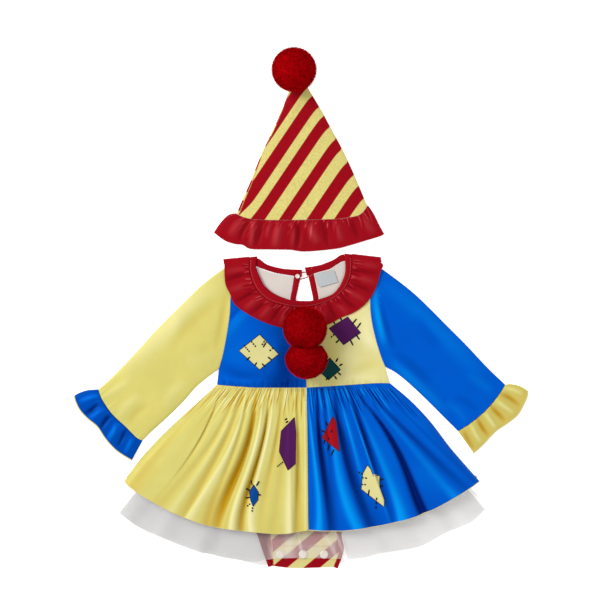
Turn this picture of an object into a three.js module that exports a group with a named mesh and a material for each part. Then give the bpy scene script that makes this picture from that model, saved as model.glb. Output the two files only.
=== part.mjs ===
// A baby's clown costume laid flat: a long-sleeved romper dress in blue and yellow halves
// with a gathered red collar, and a striped cone hat with a ruffle. Millimetres, +Z up,
// +X to the right of the costume as it lies face up, +Y from the skirt towards the hat.
import * as THREE from "three";
import { ConvexGeometry } from "three/addons/geometries/ConvexGeometry.js";

// Cloth and layers.
const CLOTH = 1.2; // satin knit wall
const THIN = 1.0; // tulle and brief wall
const SEAM = 0.4; // gap left between pieces that are sewn edge to edge
const LAYER = 0.4; // gap between pieces that lie on each other
const TUBE_HEIGHT = 6.2; // a sleeve pressed flat, outside
const TUBE_EDGE = 1.9; // height of a pressed tube's folded edge
const BODICE_TOP = 5.0; // underside of the front bodice
const SKIRT_TOP = 7.6; // underside of the front skirt over the tulle
const BRIEF_BACK = 3.0; // underside of the back brief
const TULLE_TOP = 6.2; // underside of the front tulle
const BUST_WIDTH = 222; // armhole to armhole below the arms
const POM_RADIUS = 28.7;

// The dress is drawn from the middle of its waist seam, the hat from the middle of its base
// seam, and both are then placed so that the set's box is centred on the origin.
const DRESS_PLACE = { x: 7.19, y: -105.02 };
const HAT_PLACE = { x: -1.51, y: 117.68 };

const COLOUR = {
  yellow: 0xddd37c, blue: 0x0058cb, red: 0xa8101f, pompom: 0x92040a, purple: 0x5a2660,
  green: 0x143e3f, tulle: 0xe4e4e4, cream: 0xf0e6dc, pearl: 0xf2dcd6, snap: 0xe9dfd0,
};

// ---- Curves, plans and shells ----

// An edge through one or more runs of [x, y] points; corners stay sharp between runs.
function edge(...runs) {
  const path = new THREE.CurvePath();
  for (const run of runs) {
    path.add(new THREE.SplineCurve(run.map(([x, y]) => new THREE.Vector2(x, y))));
  }
  return path;
}

const between = (a, b, t) => a + (b - a) * t;

function smooth(t) {
  const s = Math.min(Math.max(t, 0), 1);
  return s * s * (3 - 2 * s);
}

// A plan spanned between four edges: start and end run along u, left and right along v.
// The plan stops short of each edge by half a seam.
function spanned({ start, end, left, right }) {
  const marginU = (SEAM / 2) / Math.min(start.getLength(), end.getLength());
  const marginV = (SEAM / 2) / Math.min(left.getLength(), right.getLength());
  const corners = [start.getPoint(0), start.getPoint(1), end.getPoint(0), end.getPoint(1)];
  return (u, v) => {
    const s = between(marginU, 1 - marginU, u);
    const t = between(marginV, 1 - marginV, v);
    const along = start.getPoint(s).multiplyScalar(1 - t).addScaledVector(end.getPoint(s), t);
    const across = left.getPoint(t).multiplyScalar(1 - s).addScaledVector(right.getPoint(t), s);
    return along.add(across)
      .addScaledVector(corners[0], -(1 - s) * (1 - t))
      .addScaledVector(corners[1], -s * (1 - t))
      .addScaledVector(corners[2], -(1 - s) * t)
      .addScaledVector(corners[3], -s * t);
  };
}

// A plan ruled straight from one edge to another: u runs along both, v from first to second.
function ruled(first, second) {
  return (u, v) => first.getPoint(u).lerp(second.getPoint(u), v);
}

// A closed cloth wall between two surfaces, each a function of (u, v) that returns a point.
// A ring joins its last column to its first; any other wall has rims all round.
function wall(columns, rows, outside, inside, ring = false) {
  const points = [];
  const faces = [];
  const stride = ring ? columns : columns + 1;
  for (const surface of [outside, inside]) {
    for (let j = 0; j <= rows; j++) {
      for (let i = 0; i < stride; i++) {
        points.push(...surface(i / columns, j / rows).toArray());
      }
    }
  }
  const layer = stride * (rows + 1);
  const at = (side, i, j) => side * layer + j * stride + (ring ? i % columns : i);
  const quad = (a, b, c, d) => faces.push(a, b, c, a, c, d);
  for (let j = 0; j < rows; j++) {
    for (let i = 0; i < columns; i++) {
      quad(at(0, i, j), at(0, i + 1, j), at(0, i + 1, j + 1), at(0, i, j + 1));
      quad(at(1, i, j), at(1, i, j + 1), at(1, i + 1, j + 1), at(1, i + 1, j));
    }
  }
  for (let i = 0; i < columns; i++) {
    quad(at(0, i, 0), at(1, i, 0), at(1, i + 1, 0), at(0, i + 1, 0));
    quad(at(0, i + 1, rows), at(1, i + 1, rows), at(1, i, rows), at(0, i, rows));
  }
  for (let j = 0; j < rows && !ring; j++) {
    quad(at(0, 0, j + 1), at(1, 0, j + 1), at(1, 0, j), at(0, 0, j));
    quad(at(0, columns, j), at(1, columns, j), at(1, columns, j + 1), at(0, columns, j + 1));
  }
  return facingOut(points, faces);
}

// Turns every face over when the surface encloses a negative volume.
function facingOut(points, faces) {
  const corner = (k) => new THREE.Vector3().fromArray(points, 3 * faces[k]);
  let volume = 0;
  for (let k = 0; k < faces.length; k += 3) {
    volume += corner(k).dot(corner(k + 1).cross(corner(k + 2)));
  }
  if (volume < 0) faces.reverse();
  return new THREE.BufferGeometry()
    .setAttribute("position", new THREE.Float32BufferAttribute(points, 3))
    .setIndex(faces);
}

function node(parent, name, colour, geometry, roughness = 0.6) {
  geometry.computeVertexNormals();
  const material = new THREE.MeshStandardMaterial({ color: colour, roughness, metalness: 0 });
  const mesh = new THREE.Mesh(geometry, material);
  mesh.name = name;
  parent.add(mesh);
}

// A single layer of cloth on a plan, its underside at low(x, y).
function panel(plan, low, thickness, columns, rows) {
  const surface = (lift) => (u, v) => {
    const { x, y } = plan(u, v);
    return new THREE.Vector3(x, y, low(x, y) + lift);
  };
  return wall(columns, rows, surface(thickness), surface(0));
}

// A cloth tube pressed flat on a plan whose u crosses it from fold to fold. Its underside is
// flat; the top is raised by lift(u, v), as by gathers. Both ends are open.
function pressedTube(plan, { around, rows, height, lift = () => 0 }) {
  const FLAT = 1.6; // how quickly the underside leaves the folds
  const ROUND = 0.7; // exponent of the top's curve
  const surface = (inset) => (turn, v) => {
    const angle = turn * 2 * Math.PI;
    const swing = Math.sin(angle);
    const width = plan(0, v).distanceTo(plan(1, v));
    const margin = inset * 1.3 / width;
    const u = between(margin, 1 - margin, (1 - Math.cos(angle)) / 2);
    const { x, y } = plan(u, v);
    const rise = (height(v) + lift(u, v) - TUBE_EDGE - inset) * Math.abs(swing) ** ROUND;
    const drop = (TUBE_EDGE - inset) * Math.min(1, FLAT * Math.abs(swing));
    return new THREE.Vector3(x, y, TUBE_EDGE + (swing > 0 ? rise : -drop));
  };
  return wall(around, rows, surface(0), surface(CLOTH), true);
}

// A ball of clipped yarn pressed flat below and, where it meets a neighbour, on one side.
function pompom({ x, y, low, centre, radius, squash, keepAbove, keepBelow }) {
  const ball = new THREE.SphereGeometry(radius, 16, 10).getAttribute("position");
  const points = [];
  for (let i = 0; i < ball.count; i++) {
    const point = new THREE.Vector3().fromBufferAttribute(ball, i);
    point.set(point.x + x, point.y + y, Math.max(point.z * squash + centre, low));
    if (keepAbove !== undefined) point.y = Math.max(point.y, keepAbove);
    if (keepBelow !== undefined) point.y = Math.min(point.y, keepBelow);
    points.push(point);
  }
  return new ConvexGeometry(points);
}

// ---- Outlines of the dress, from the middle of the waist seam ----

const ARMHOLE_LEFT = [
  [-117.5, 23.6], [-112, 42.7], [-106.7, 69.3], [-102.7, 96], [-101.3, 121], [-99.5, 145], [-97.5, 163],
];
const ARMHOLE_RIGHT = [
  [105.3, 26.7], [99.3, 41.3], [91.3, 68], [86, 94.7], [84.7, 120], [85.5, 143], [87.5, 165],
];
const WAIST_LEFT = [[-120, 3], [-88.7, 0.7], [-62, -0.7], [0, -0.7]];
const WAIST_RIGHT = [[0, -0.7], [44.7, 2], [91.3, 5], [111.5, 5]];
const NECK_INNER = [
  [-66, 170], [-67.3, 160.9], [-61.2, 144.7], [-54.3, 133.3], [-42, 124], [-22, 116.3], [-5, 114.9],
  [10, 115.7], [31.9, 122.4], [42.7, 132.4], [49.6, 146.3], [51.9, 158.7], [51, 172],
];
// The line where the front binding ends and the front bodice begins, in its two halves.
const NECK_OUTER_LEFT = [
  [0, 107], [-14.3, 106.7], [-40.4, 111.6], [-54.3, 117.7], [-63.6, 126.3], [-71.3, 138.7],
  [-75.9, 155.5], [-76, 168],
];
const NECK_OUTER_RIGHT = [
  [0, 107], [16.4, 110.1], [31.9, 116.3], [44.1, 124.7], [53.3, 135.5], [58.8, 149.3], [60.3, 163.2],
  [60, 172],
];
const KEYHOLE_INNER = [
  [-7.5, 144.5], [-11.3, 130.7], [-14, 116], [-12, 102.7], [-2.7, 94.5], [6.5, 102.7], [8.7, 116],
  [6, 130.7], [1.5, 143.5],
];
const KEYHOLE_OUTER = [
  [-16.5, 144], [-19.3, 130.7], [-21.7, 116], [-19, 98.7], [-2.7, 88], [14, 98.7], [16.2, 116],
  [14, 130.7], [9.5, 145],
];
const BACK_NECK_LEFT = {
  top: [[-66, 172], [-60.4, 169], [-52.8, 163.5], [-35.9, 158.7], [-22, 157.1], [-6, 156.5]],
  bottom: [[-72, 164], [-67.3, 161], [-55.3, 156.5], [-42, 152.3], [-28.7, 150], [-6, 146.7]],
};
const BACK_NECK_RIGHT = {
  top: [[50, 177], [44.5, 175.5], [36.4, 170.1], [25.7, 165.5], [16.4, 162.4], [6, 160.5], [-2.5, 159.5]],
  bottom: [[54, 168], [48, 167.5], [40, 163], [31, 157.5], [18, 153.8], [8.7, 151], [0.5, 148]],
};
const SKIRT_CENTRE = [[0, -0.7], [1.3, -57.3], [2, -124], [2.7, -189.3]];
const SKIRT_SIDE_LEFT = [
  [-120, 3], [-142, -17.3], [-168.7, -41.3], [-195.3, -66.7], [-222, -96], [-242.7, -124.7],
];
const SKIRT_SIDE_RIGHT = [
  [111.5, 5], [138, -17.3], [164.7, -45.3], [191.3, -80], [218, -110.7], [230.5, -124.7],
];
const SKIRT_HEM_LEFT = [
  [-242.7, -124.7], [-222, -141.3], [-182, -164], [-128.7, -184], [-95.3, -189.3], [-55.3, -193.3],
  [-28.7, -194], [2.7, -189.3],
];
const SKIRT_HEM_RIGHT = [
  [2.7, -189.3], [44.7, -190.7], [84.7, -186], [111.3, -180.7], [138, -174], [158, -166.7],
  [178, -157.3], [204.7, -142], [230.5, -124.7],
];

// ---- Heights of the layers ----

// Skirt folds fan out from a point above the waist: fan() is the slope of the ray through a point.
const FAN = { x: -4, y: 127, side: 0.93, length: 190 };
const fan = (x, y) => (x - FAN.x) / (FAN.y - y);

// Main folds of the front skirt: where the crest leaves the waist and meets the hem, as fan
// slopes, how wide it is at the hem, as a slope, and how high it stands there.
const SKIRT_FOLDS = [
  { waist: -0.80, hem: -0.80, width: 0.16, height: 6 },
  { waist: -0.60, hem: -0.56, width: 0.17, height: 9 },
  { waist: -0.36, hem: -0.38, width: 0.13, height: 7 },
  { waist: -0.19, hem: -0.19, width: 0.13, height: 9 },
  { waist: 0.06, hem: 0.07, width: 0.10, height: 9 },
  { waist: 0.22, hem: 0.25, width: 0.13, height: 10 },
  { waist: 0.42, hem: 0.44, width: 0.14, height: 9 },
  { waist: 0.64, hem: 0.68, width: 0.15, height: 8 },
  { waist: 0.82, hem: 0.83, width: 0.11, height: 6 },
];

// The waist seam rises towards both side seams.
const waistLine = (x) => -0.7 + (x > 0 ? 0.051 * x : 3.7 * (x / 120) ** 2);

// Underside of the front skirt: rounded down to the back panel along the side seams, up from
// the waist seam onto the tulle, and raised along the folds.
function skirtLow(x, y) {
  const SIDE_ROLL = 28;
  const WAIST_ROLL = 7;
  const slope = fan(x, y);
  const below = Math.max(0, -y) / FAN.length;
  const inside = Math.max(0, (FAN.side - Math.abs(slope)) * (FAN.y - y));
  const roll = Math.sqrt(1 - (1 - Math.min(inside / SIDE_ROLL, 1)) ** 2);
  const waist = between(BODICE_TOP, SKIRT_TOP, smooth((waistLine(x) - y) / WAIST_ROLL));
  const edgeLow = CLOTH + LAYER;
  let folds = 0;
  for (const { waist: from, hem, width, height } of SKIRT_FOLDS) {
    const off = (slope - between(from, hem, below)) / width;
    if (Math.abs(off) < 1) folds += height * smooth(below * 1.3) * Math.cos(off * Math.PI / 2) ** 2;
  }
  return edgeLow + (waist - edgeLow) * roll + folds * roll;
}

// Underside of the front bodice: down on the back panel at the side seams and the shoulders.
function bodiceLow(x, y) {
  const middle = -4;
  const half = BUST_WIDTH / 2 + 5;
  const SIDE_ROLL = 20;
  const inside = Math.max(0, half - Math.abs(x - middle)) / SIDE_ROLL;
  const side = Math.sqrt(1 - (1 - Math.min(inside, 1)) ** 2);
  const armhole = smooth((y - 18) / 20);
  const shoulder = smooth((y - 140) / 28);
  const low = between(between(CLOTH + LAYER, BODICE_TOP, side), BODICE_TOP, armhole);
  return between(low, 2 * (CLOTH + LAYER), shoulder * 0.9);
}

// The back bodice lies on the table, and on the folded-under collar above the shoulder blades.
const backLow = (x, y) => (CLOTH + LAYER) * smooth((y - 78) / 20);

// The back tulle lies on the back skirt and comes down to the table past its hem.
const tulleBackLow = (x, y) => (CLOTH + LAYER) * (1 - smooth((-206 - y) / 14));

// The brief lies on the back tulle and sinks a little at the crotch, past the tulle's hem.
const briefBackLow = (x, y) => BRIEF_BACK - 1.5 * smooth((-216 - y) / 22);
const briefFrontLow = (x, y) => briefBackLow(x, y) + THIN + LAYER;

// The front tulle lies on the brief, rises over the snaps and falls towards its sides.
function tulleFrontLow(x, y) {
  const SNAP_RISE = 1.6;
  const inside = Math.max(0, (FAN.side - 0.03 - Math.abs(fan(x, y))) * (FAN.y - y)) / 18;
  const side = smooth(inside);
  const snaps = SNAP_RISE * smooth((-202 - y) / 10) * smooth((72 - Math.abs(x + 4)) / 18);
  const ruffle = 0.9 * (1 - side) * smooth((-140 - y) / 30) * (1 + Math.sin(x / 7));
  return between(BRIEF_BACK, TULLE_TOP, side) + snaps + ruffle;
}

// ---- Hat ----

const HAT_SEAM = [
  [-86, 9.3], [-76, 4], [-64, 1.3], [-46.7, 0], [0, 0], [48, 1.3], [64, 3.3], [80, 7.3], [90.7, 20],
];

function hat(parent) {
  const TIP_HEIGHT = 4.4;
  const cone = spanned({
    start: edge([[-10.7, 181.3], [8.7, 181.3]]),
    end: edge(HAT_SEAM),
    left: edge([
      [-10.7, 181.3], [-14.7, 172], [-30.7, 133.3], [-52, 89.3], [-66.7, 53.3], [-78.7, 26.7],
      [-86, 9.3],
    ]),
    right: edge([
      [8.7, 181.3], [13.3, 172], [28, 148], [42.7, 121.3], [57.3, 94.7], [70.7, 66.7], [84, 36],
      [90.7, 20],
    ]),
  });
  const height = (v) => between(TIP_HEIGHT, TUBE_HEIGHT, smooth(v * 3));
  node(parent, "hat_cone", COLOUR.red, pressedTube(cone, { around: 14, rows: 7, height }));

  const ruffle = spanned({
    start: edge(HAT_SEAM),
    end: edge([
      [-115.3, -16.7], [-101.3, -27.3], [-80, -32], [-66.7, -38.7], [-40, -38.7], [-13.3, -40],
      [6.7, -41.5], [46.7, -38.7], [80, -30], [112.7, -18.7],
    ]),
    left: edge([[-86, 9.3], [-96, 6.7], [-106.7, -4], [-115.3, -16.7]]),
    right: edge([[90.7, 20], [98.7, 8], [106.7, -8], [112.7, -18.7]]),
  });
  const GATHERS = 5;
  const lift = (u, v) => 1.6 * v * Math.sin(u * GATHERS * 2 * Math.PI) ** 2;
  node(parent, "hat_ruffle", COLOUR.red,
    pressedTube(ruffle, { around: 40, rows: 2, height: () => TUBE_HEIGHT, lift }));

  node(parent, "hat_pompom", COLOUR.pompom, pompom({
    x: -8, y: 200.7, low: 0, centre: 27.5, radius: POM_RADIUS, squash: 0.97,
  }), 0.95);
}

// ---- Bodice, neck and closure ----

const reversed = (points) => [...points].reverse();

function bodice(parent) {
  const sideLeft = [[-120, 3], [-117.5, 23.6]];
  const sideRight = [[111.5, 5], [105.3, 26.7]];
  const centre = [[0, -0.7], [0, 107]];
  const frontBlue = spanned({
    start: edge(WAIST_LEFT),
    end: edge([[-97.5, 163], [-76, 168]]),
    left: edge(sideLeft, ARMHOLE_LEFT),
    right: edge(centre, NECK_OUTER_LEFT),
  });
  const frontYellow = spanned({
    start: edge(WAIST_RIGHT),
    end: edge([[60, 172], [87.5, 165]]),
    left: edge(centre, NECK_OUTER_RIGHT),
    right: edge(sideRight, ARMHOLE_RIGHT),
  });
  node(parent, "bodice_front_blue", COLOUR.blue, panel(frontBlue, bodiceLow, CLOTH, 6, 11));
  node(parent, "bodice_front_yellow", COLOUR.yellow, panel(frontYellow, bodiceLow, CLOTH, 6, 11));

  const backBlue = spanned({
    start: edge(WAIST_LEFT),
    end: edge(
      [[-97.5, 163], [-75, 164]],
      [[-75, 164], [-67.8, 160], [-55.6, 155.5], [-42.2, 151.3], [-28.9, 149], [-18, 147.5]],
    ),
    left: edge(sideLeft, ARMHOLE_LEFT),
    right: edge(
      [[0, -0.7], [0, 86]],
      [[0, 86], [-13, 88.6], [-20.6, 98.5], [-22.9, 116], [-20.6, 130.7], [-17.8, 143], [-18, 147.5]],
    ),
  });
  const backYellow = spanned({
    start: edge(WAIST_RIGHT),
    end: edge(
      [[11.5, 150.5], [18.2, 152.8], [31.4, 156.5], [40.4, 162], [48, 166], [57, 168]],
      [[57, 168], [87.5, 165]],
    ),
    left: edge(
      [[0, -0.7], [0, 86]],
      [[0, 86], [8, 88.6], [15.6, 98.5], [17.4, 116], [15.2, 130.7], [11, 144.5], [11.5, 150.5]],
    ),
    right: edge(sideRight, ARMHOLE_RIGHT),
  });
  node(parent, "bodice_back_blue", COLOUR.blue, panel(backBlue, backLow, CLOTH, 6, 10));
  node(parent, "bodice_back_yellow", COLOUR.yellow, panel(backYellow, backLow, CLOTH, 6, 10));
}

// A narrow band ruled between its two long edges.
function band(first, second, { low, thickness }, columns) {
  return panel(ruled(edge(first), edge(second)), () => low, thickness, columns, 1);
}

function neck(parent) {
  const FRONT_BAND = { low: 4.0, thickness: 2.4 };
  const BACK_BAND = { low: 1.6, thickness: 1.5 };
  const KEYHOLE_BAND = { low: 1.0, thickness: 2.2 };
  const GAP = 0.85;
  const outer = [...reversed(NECK_OUTER_LEFT), ...NECK_OUTER_RIGHT.slice(1)]
    .map(([x, y]) => [x + (x < 0 ? GAP : -GAP), y + GAP]);
  node(parent, "neck_binding_front", COLOUR.red,
    band(NECK_INNER, outer, FRONT_BAND, 24));
  node(parent, "neck_binding_back_left", COLOUR.red,
    band(BACK_NECK_LEFT.top, BACK_NECK_LEFT.bottom, BACK_BAND, 9));
  node(parent, "neck_binding_back_right", COLOUR.red,
    band(BACK_NECK_RIGHT.top, BACK_NECK_RIGHT.bottom, BACK_BAND, 9));
  node(parent, "keyhole_binding", COLOUR.red,
    band(KEYHOLE_INNER, KEYHOLE_OUTER, KEYHOLE_BAND, 18));

  const labelPlan = ruled(edge([[11, 150.2], [36.7, 155.6]]), edge([[18, 133.3], [42, 140]]));
  node(parent, "size_label", COLOUR.cream, panel(labelPlan, () => 3.3, 1.0, 3, 2));
  closure(parent);
}

// A small shank button on the left end of the back binding, held by a thread loop from the right.
function closure(parent) {
  const BUTTON = { x: -12, y: 147.6, low: 3.5, radius: 3.0, thickness: 1.8, dish: 0.5 };
  const profile = [
    [0, 0], [BUTTON.radius - 0.4, 0], [BUTTON.radius, 0.5], [BUTTON.radius, BUTTON.thickness - 0.4],
    [BUTTON.radius - 0.5, BUTTON.thickness], [BUTTON.radius * 0.5, BUTTON.thickness - BUTTON.dish],
    [0, BUTTON.thickness - BUTTON.dish],
  ].map(([r, z]) => new THREE.Vector2(r, z));
  const button = new THREE.LatheGeometry(profile, 12);
  button.rotateX(Math.PI / 2);
  button.translate(BUTTON.x, BUTTON.y, BUTTON.low);
  node(parent, "back_button", COLOUR.pearl, button, 0.3);

  const LOOP = { reach: 4.2, thread: 0.5, z: 4.2 };
  const route = [[2, 153.5], [-4, 152.8]];
  for (let degrees = 80; degrees <= 280; degrees += 40) {
    const angle = degrees * Math.PI / 180;
    route.push([BUTTON.x + LOOP.reach * Math.cos(angle), BUTTON.y + LOOP.reach * Math.sin(angle)]);
  }
  route.push([-4, 144.6], [2, 147]);
  const path = new THREE.CatmullRomCurve3(route.map(([x, y]) => new THREE.Vector3(x, y, LOOP.z)));
  const section = new THREE.Shape().absarc(0, 0, LOOP.thread, 0, 2 * Math.PI);
  const loop = new THREE.ExtrudeGeometry(section, { extrudePath: path, steps: 18, curveSegments: 3 });
  node(parent, "button_loop", COLOUR.red, loop);
}

// ---- Collar ruffle ----

// Stations round the neck, from the left end of the keyhole under the back, over the left
// shoulder fold, across the front, over the right fold and back under. Inner and outer points
// are where the strip is sewn and where it ends. turn is the bend over the shoulder:
// -90 lies under the back, 90 lies on the front.
const COLLAR = [
  { inner: [-29, 147], outer: [-31, 107], turn: -90 },
  { inner: [-46, 149], outer: [-62, 111], turn: -90 },
  { inner: [-62, 156], outer: [-88, 131], turn: -90 },
  { inner: [-74, 166], outer: [-94, 161.5], turn: -90 },
  { inner: [-76, 170.2], outer: [-110.4, 167], turn: -60 },
  { inner: [-76, 170.2], outer: [-110.4, 167], turn: -20 },
  { inner: [-76, 170.2], outer: [-110.4, 167], turn: 20 },
  { inner: [-76, 170.2], outer: [-110.4, 167], turn: 60 },
  { inner: [-76, 166], outer: [-110.4, 163], turn: 90 },
  { inner: [-75.9, 155.5], outer: [-109, 152], turn: 90 },
  { inner: [-71.3, 138.7], outer: [-105.5, 136], turn: 90 },
  { inner: [-63.6, 126.3], outer: [-98.9, 117.3], turn: 90 },
  { inner: [-54.3, 117.7], outer: [-84, 99.5], turn: 90 },
  { inner: [-40.4, 111.6], outer: [-65.1, 91.6], turn: 90 },
  { inner: [-27, 108.8], outer: [-44, 82], turn: 90 },
  { inner: [-14.3, 106.7], outer: [-24, 76.5], turn: 90 },
  { inner: [1.1, 107.1], outer: [-2, 74.7], turn: 90 },
  { inner: [16.4, 110.1], outer: [20.7, 80], turn: 90 },
  { inner: [31.9, 116.3], outer: [41, 89.8], turn: 90 },
  { inner: [44.1, 124.7], outer: [62, 100], turn: 90 },
  { inner: [53.3, 135.5], outer: [81, 115], turn: 90 },
  { inner: [58.8, 149.3], outer: [94, 137], turn: 90 },
  { inner: [60.3, 163.2], outer: [100.3, 158], turn: 90 },
  { inner: [60, 170], outer: [100, 166], turn: 90 },
  { inner: [60, 174], outer: [98.7, 169.6], turn: 60 },
  { inner: [60, 174], outer: [98.7, 169.6], turn: 20 },
  { inner: [60, 174], outer: [98.7, 169.6], turn: -20 },
  { inner: [60, 174], outer: [98.7, 169.6], turn: -60 },
  { inner: [58, 169], outer: [83.5, 164.5], turn: -90 },
  { inner: [43, 160], outer: [74, 132], turn: -90 },
  { inner: [31, 154.5], outer: [48, 113], turn: -90 },
  { inner: [19, 151], outer: [20, 107], turn: -90 },
];

function collar(parent) {
  const FRONT_MIDDLE = BODICE_TOP + CLOTH + LAYER + CLOTH / 2;
  const BACK_MIDDLE = CLOTH / 2;
  const bend = (FRONT_MIDDLE - BACK_MIDDLE) / 2;
  const axis = (FRONT_MIDDLE + BACK_MIDDLE) / 2;
  const stations = COLLAR.length - 1;
  const surface = (offset) => (u, v) => {
    const station = Math.round(u * stations);
    const { inner, outer, turn } = COLLAR[station];
    const angle = turn * Math.PI / 180;
    const radius = bend + offset;
    const out = between(0.02, 1, v);
    const x = between(inner[0], outer[0], out);
    const y = between(inner[1], outer[1], out);
    const ripple = turn === 90 ? 2.2 * v * (station % 2) : 0;
    return new THREE.Vector3(x, y + radius * Math.cos(angle), axis + radius * Math.sin(angle) + ripple);
  };
  node(parent, "collar_ruffle", COLOUR.red,
    wall(stations, 3, surface(CLOTH / 2), surface(-CLOTH / 2)));
}

// ---- Sleeves and cuffs ----

function sleeves(parent) {
  const seamYellow = [
    [-277.6, -2.9], [-272.7, -16], [-259.3, -35.6], [-240.9, -52.9], [-226.7, -67.3], [-218.4, -71.3],
  ];
  const seamBlue = [[265.2, 3.2], [255.1, -12], [238.7, -30.7], [220.3, -46.7], [202, -59.1]];
  const yellow = spanned({
    start: edge(reversed(ARMHOLE_LEFT)),
    end: edge(seamYellow),
    left: edge([
      [-97.5, 163], [-111.3, 157.5], [-138.8, 136.8], [-165.3, 111.3], [-198, 78.7], [-230.7, 42.9],
      [-261.3, 11.3], [-277.6, -2.9],
    ]),
    right: edge([
      [-117.5, 23.6], [-144.9, 2.1], [-165.3, -20.4], [-186, -40.8], [-206.3, -59.1], [-218.4, -71.3],
    ]),
  });
  const blue = spanned({
    start: edge(reversed(ARMHOLE_RIGHT)),
    end: edge(seamBlue),
    left: edge([
      [87.5, 165], [100.9, 157.5], [122.4, 141.9], [142.8, 125.6], [163.2, 106.3], [185.6, 83.7],
      [214, 55.2], [240.7, 26.7], [265.2, 3.2],
    ]),
    right: edge([
      [105.3, 26.7], [122.4, 16.4], [142.8, -0.9], [163.2, -20.4], [183.6, -40.8], [202, -59.1],
    ]),
  });
  const sleeve = { around: 14, rows: 7, height: () => TUBE_HEIGHT };
  node(parent, "sleeve_yellow", COLOUR.yellow, pressedTube(yellow, sleeve));
  node(parent, "sleeve_blue", COLOUR.blue, pressedTube(blue, sleeve));

  const cuffBlue = spanned({
    start: edge(seamYellow),
    end: edge([
      [-309.9, -11.2], [-308.3, -18.3], [-302.1, -30.7], [-291.9, -41.7], [-278.7, -52.9],
      [-267.5, -69.3], [-253.2, -84.7], [-232.8, -97.9],
    ]),
    left: edge([[-277.6, -2.9], [-291.9, -4], [-302.1, -7.1], [-309.9, -11.2]]),
    right: edge([[-218.4, -71.3], [-232.8, -97.9]]),
  });
  const cuffYellow = spanned({
    start: edge(seamBlue),
    end: edge([
      [295.5, -5.1], [292.8, -16.3], [281.6, -36.7], [265.2, -49.9], [252, -59.1], [234.7, -77.3],
      [222.4, -88.7],
    ]),
    left: edge([[265.2, 3.2], [272.4, 4.1], [285.6, 1.1], [295.5, -5.1]]),
    right: edge([[202, -59.1], [219.3, -83.6], [222.4, -88.7]]),
  });
  const PLEATS = 4;
  const lift = (u, v) => 1.8 * v * Math.sin(u * PLEATS * Math.PI) ** 2;
  const cuff = { around: 24, rows: 2, height: () => TUBE_HEIGHT, lift };
  node(parent, "cuff_ruffle_blue", COLOUR.blue, pressedTube(cuffBlue, cuff));
  node(parent, "cuff_ruffle_yellow", COLOUR.yellow, pressedTube(cuffYellow, cuff));
}

// ---- Skirt, tulle and brief ----

function skirt(parent) {
  const BACK_HEM_RISE = 5;
  const raised = (points) => points.map(([x, y]) => [x, y + BACK_HEM_RISE]);
  const centre = edge(SKIRT_CENTRE);
  const centreBack = edge([...SKIRT_CENTRE.slice(0, -1), [2.7, -189.3 + BACK_HEM_RISE]]);
  const sideBackLeft = edge([...SKIRT_SIDE_LEFT.slice(0, -1), [-242.7, -124.7 + BACK_HEM_RISE]]);
  const sideBackRight = edge([...SKIRT_SIDE_RIGHT.slice(0, -1), [230.5, -124.7 + BACK_HEM_RISE]]);
  const yellow = spanned({
    start: edge(WAIST_LEFT), end: edge(SKIRT_HEM_LEFT), left: edge(SKIRT_SIDE_LEFT), right: centre,
  });
  const blue = spanned({
    start: edge(WAIST_RIGHT), end: edge(SKIRT_HEM_RIGHT), left: centre, right: edge(SKIRT_SIDE_RIGHT),
  });
  const backYellow = spanned({
    start: edge(WAIST_LEFT), end: edge(raised(SKIRT_HEM_LEFT)), left: sideBackLeft, right: centreBack,
  });
  const backBlue = spanned({
    start: edge(WAIST_RIGHT), end: edge(raised(SKIRT_HEM_RIGHT)), left: centreBack,
    right: sideBackRight,
  });
  // Rows crowd towards the waist, where the skirt climbs onto the tulle.
  const crowded = (plan) => (u, v) => plan(u, v ** 1.6);
  node(parent, "skirt_front_yellow", COLOUR.yellow, panel(crowded(yellow), skirtLow, CLOTH, 24, 7));
  node(parent, "skirt_front_blue", COLOUR.blue, panel(crowded(blue), skirtLow, CLOTH, 24, 7));
  node(parent, "skirt_back_yellow", COLOUR.yellow, panel(backYellow, () => 0, CLOTH, 10, 4));
  node(parent, "skirt_back_blue", COLOUR.blue, panel(backBlue, () => 0, CLOTH, 10, 4));
}

function underskirt(parent) {
  const front = spanned({
    start: edge([[-108, -9.5], [101, -9.5]]),
    end: edge([
      [-259.3, -169.3], [-231.3, -189.3], [-195.3, -205.3], [-142, -220], [-88.7, -229], [-20, -229],
      [52.7, -228.7], [92.4, -226], [151.3, -216], [187.3, -198.1], [226.9, -185.3], [247.1, -164.9],
    ]),
    left: edge([
      [-108, -9.5], [-160, -56], [-207, -106], [-229, -134], [-246, -152], [-259.3, -169.3],
    ]),
    right: edge([[101, -9.5], [150, -58], [196, -108], [219, -134], [236, -150], [247.1, -164.9]]),
  });
  const back = spanned({
    start: edge([[-108, -9.5], [101, -9.5]]),
    end: edge([
      [-250, -168], [-222, -188], [-185, -204], [-140, -221], [-88.7, -231], [-50, -238], [50, -235],
      [95, -227], [150, -217], [185, -199], [220, -184], [238, -165],
    ]),
    left: edge([[-108, -9.5], [-158, -58], [-203, -108], [-225, -136], [-250, -168]]),
    right: edge([[101, -9.5], [148, -60], [192, -110], [215, -136], [238, -165]]),
  });
  node(parent, "tulle_front", COLOUR.tulle, panel(front, tulleFrontLow, THIN, 18, 7));
  node(parent, "tulle_back", COLOUR.tulle, panel(back, tulleBackLow, THIN, 10, 9));
}

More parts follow.
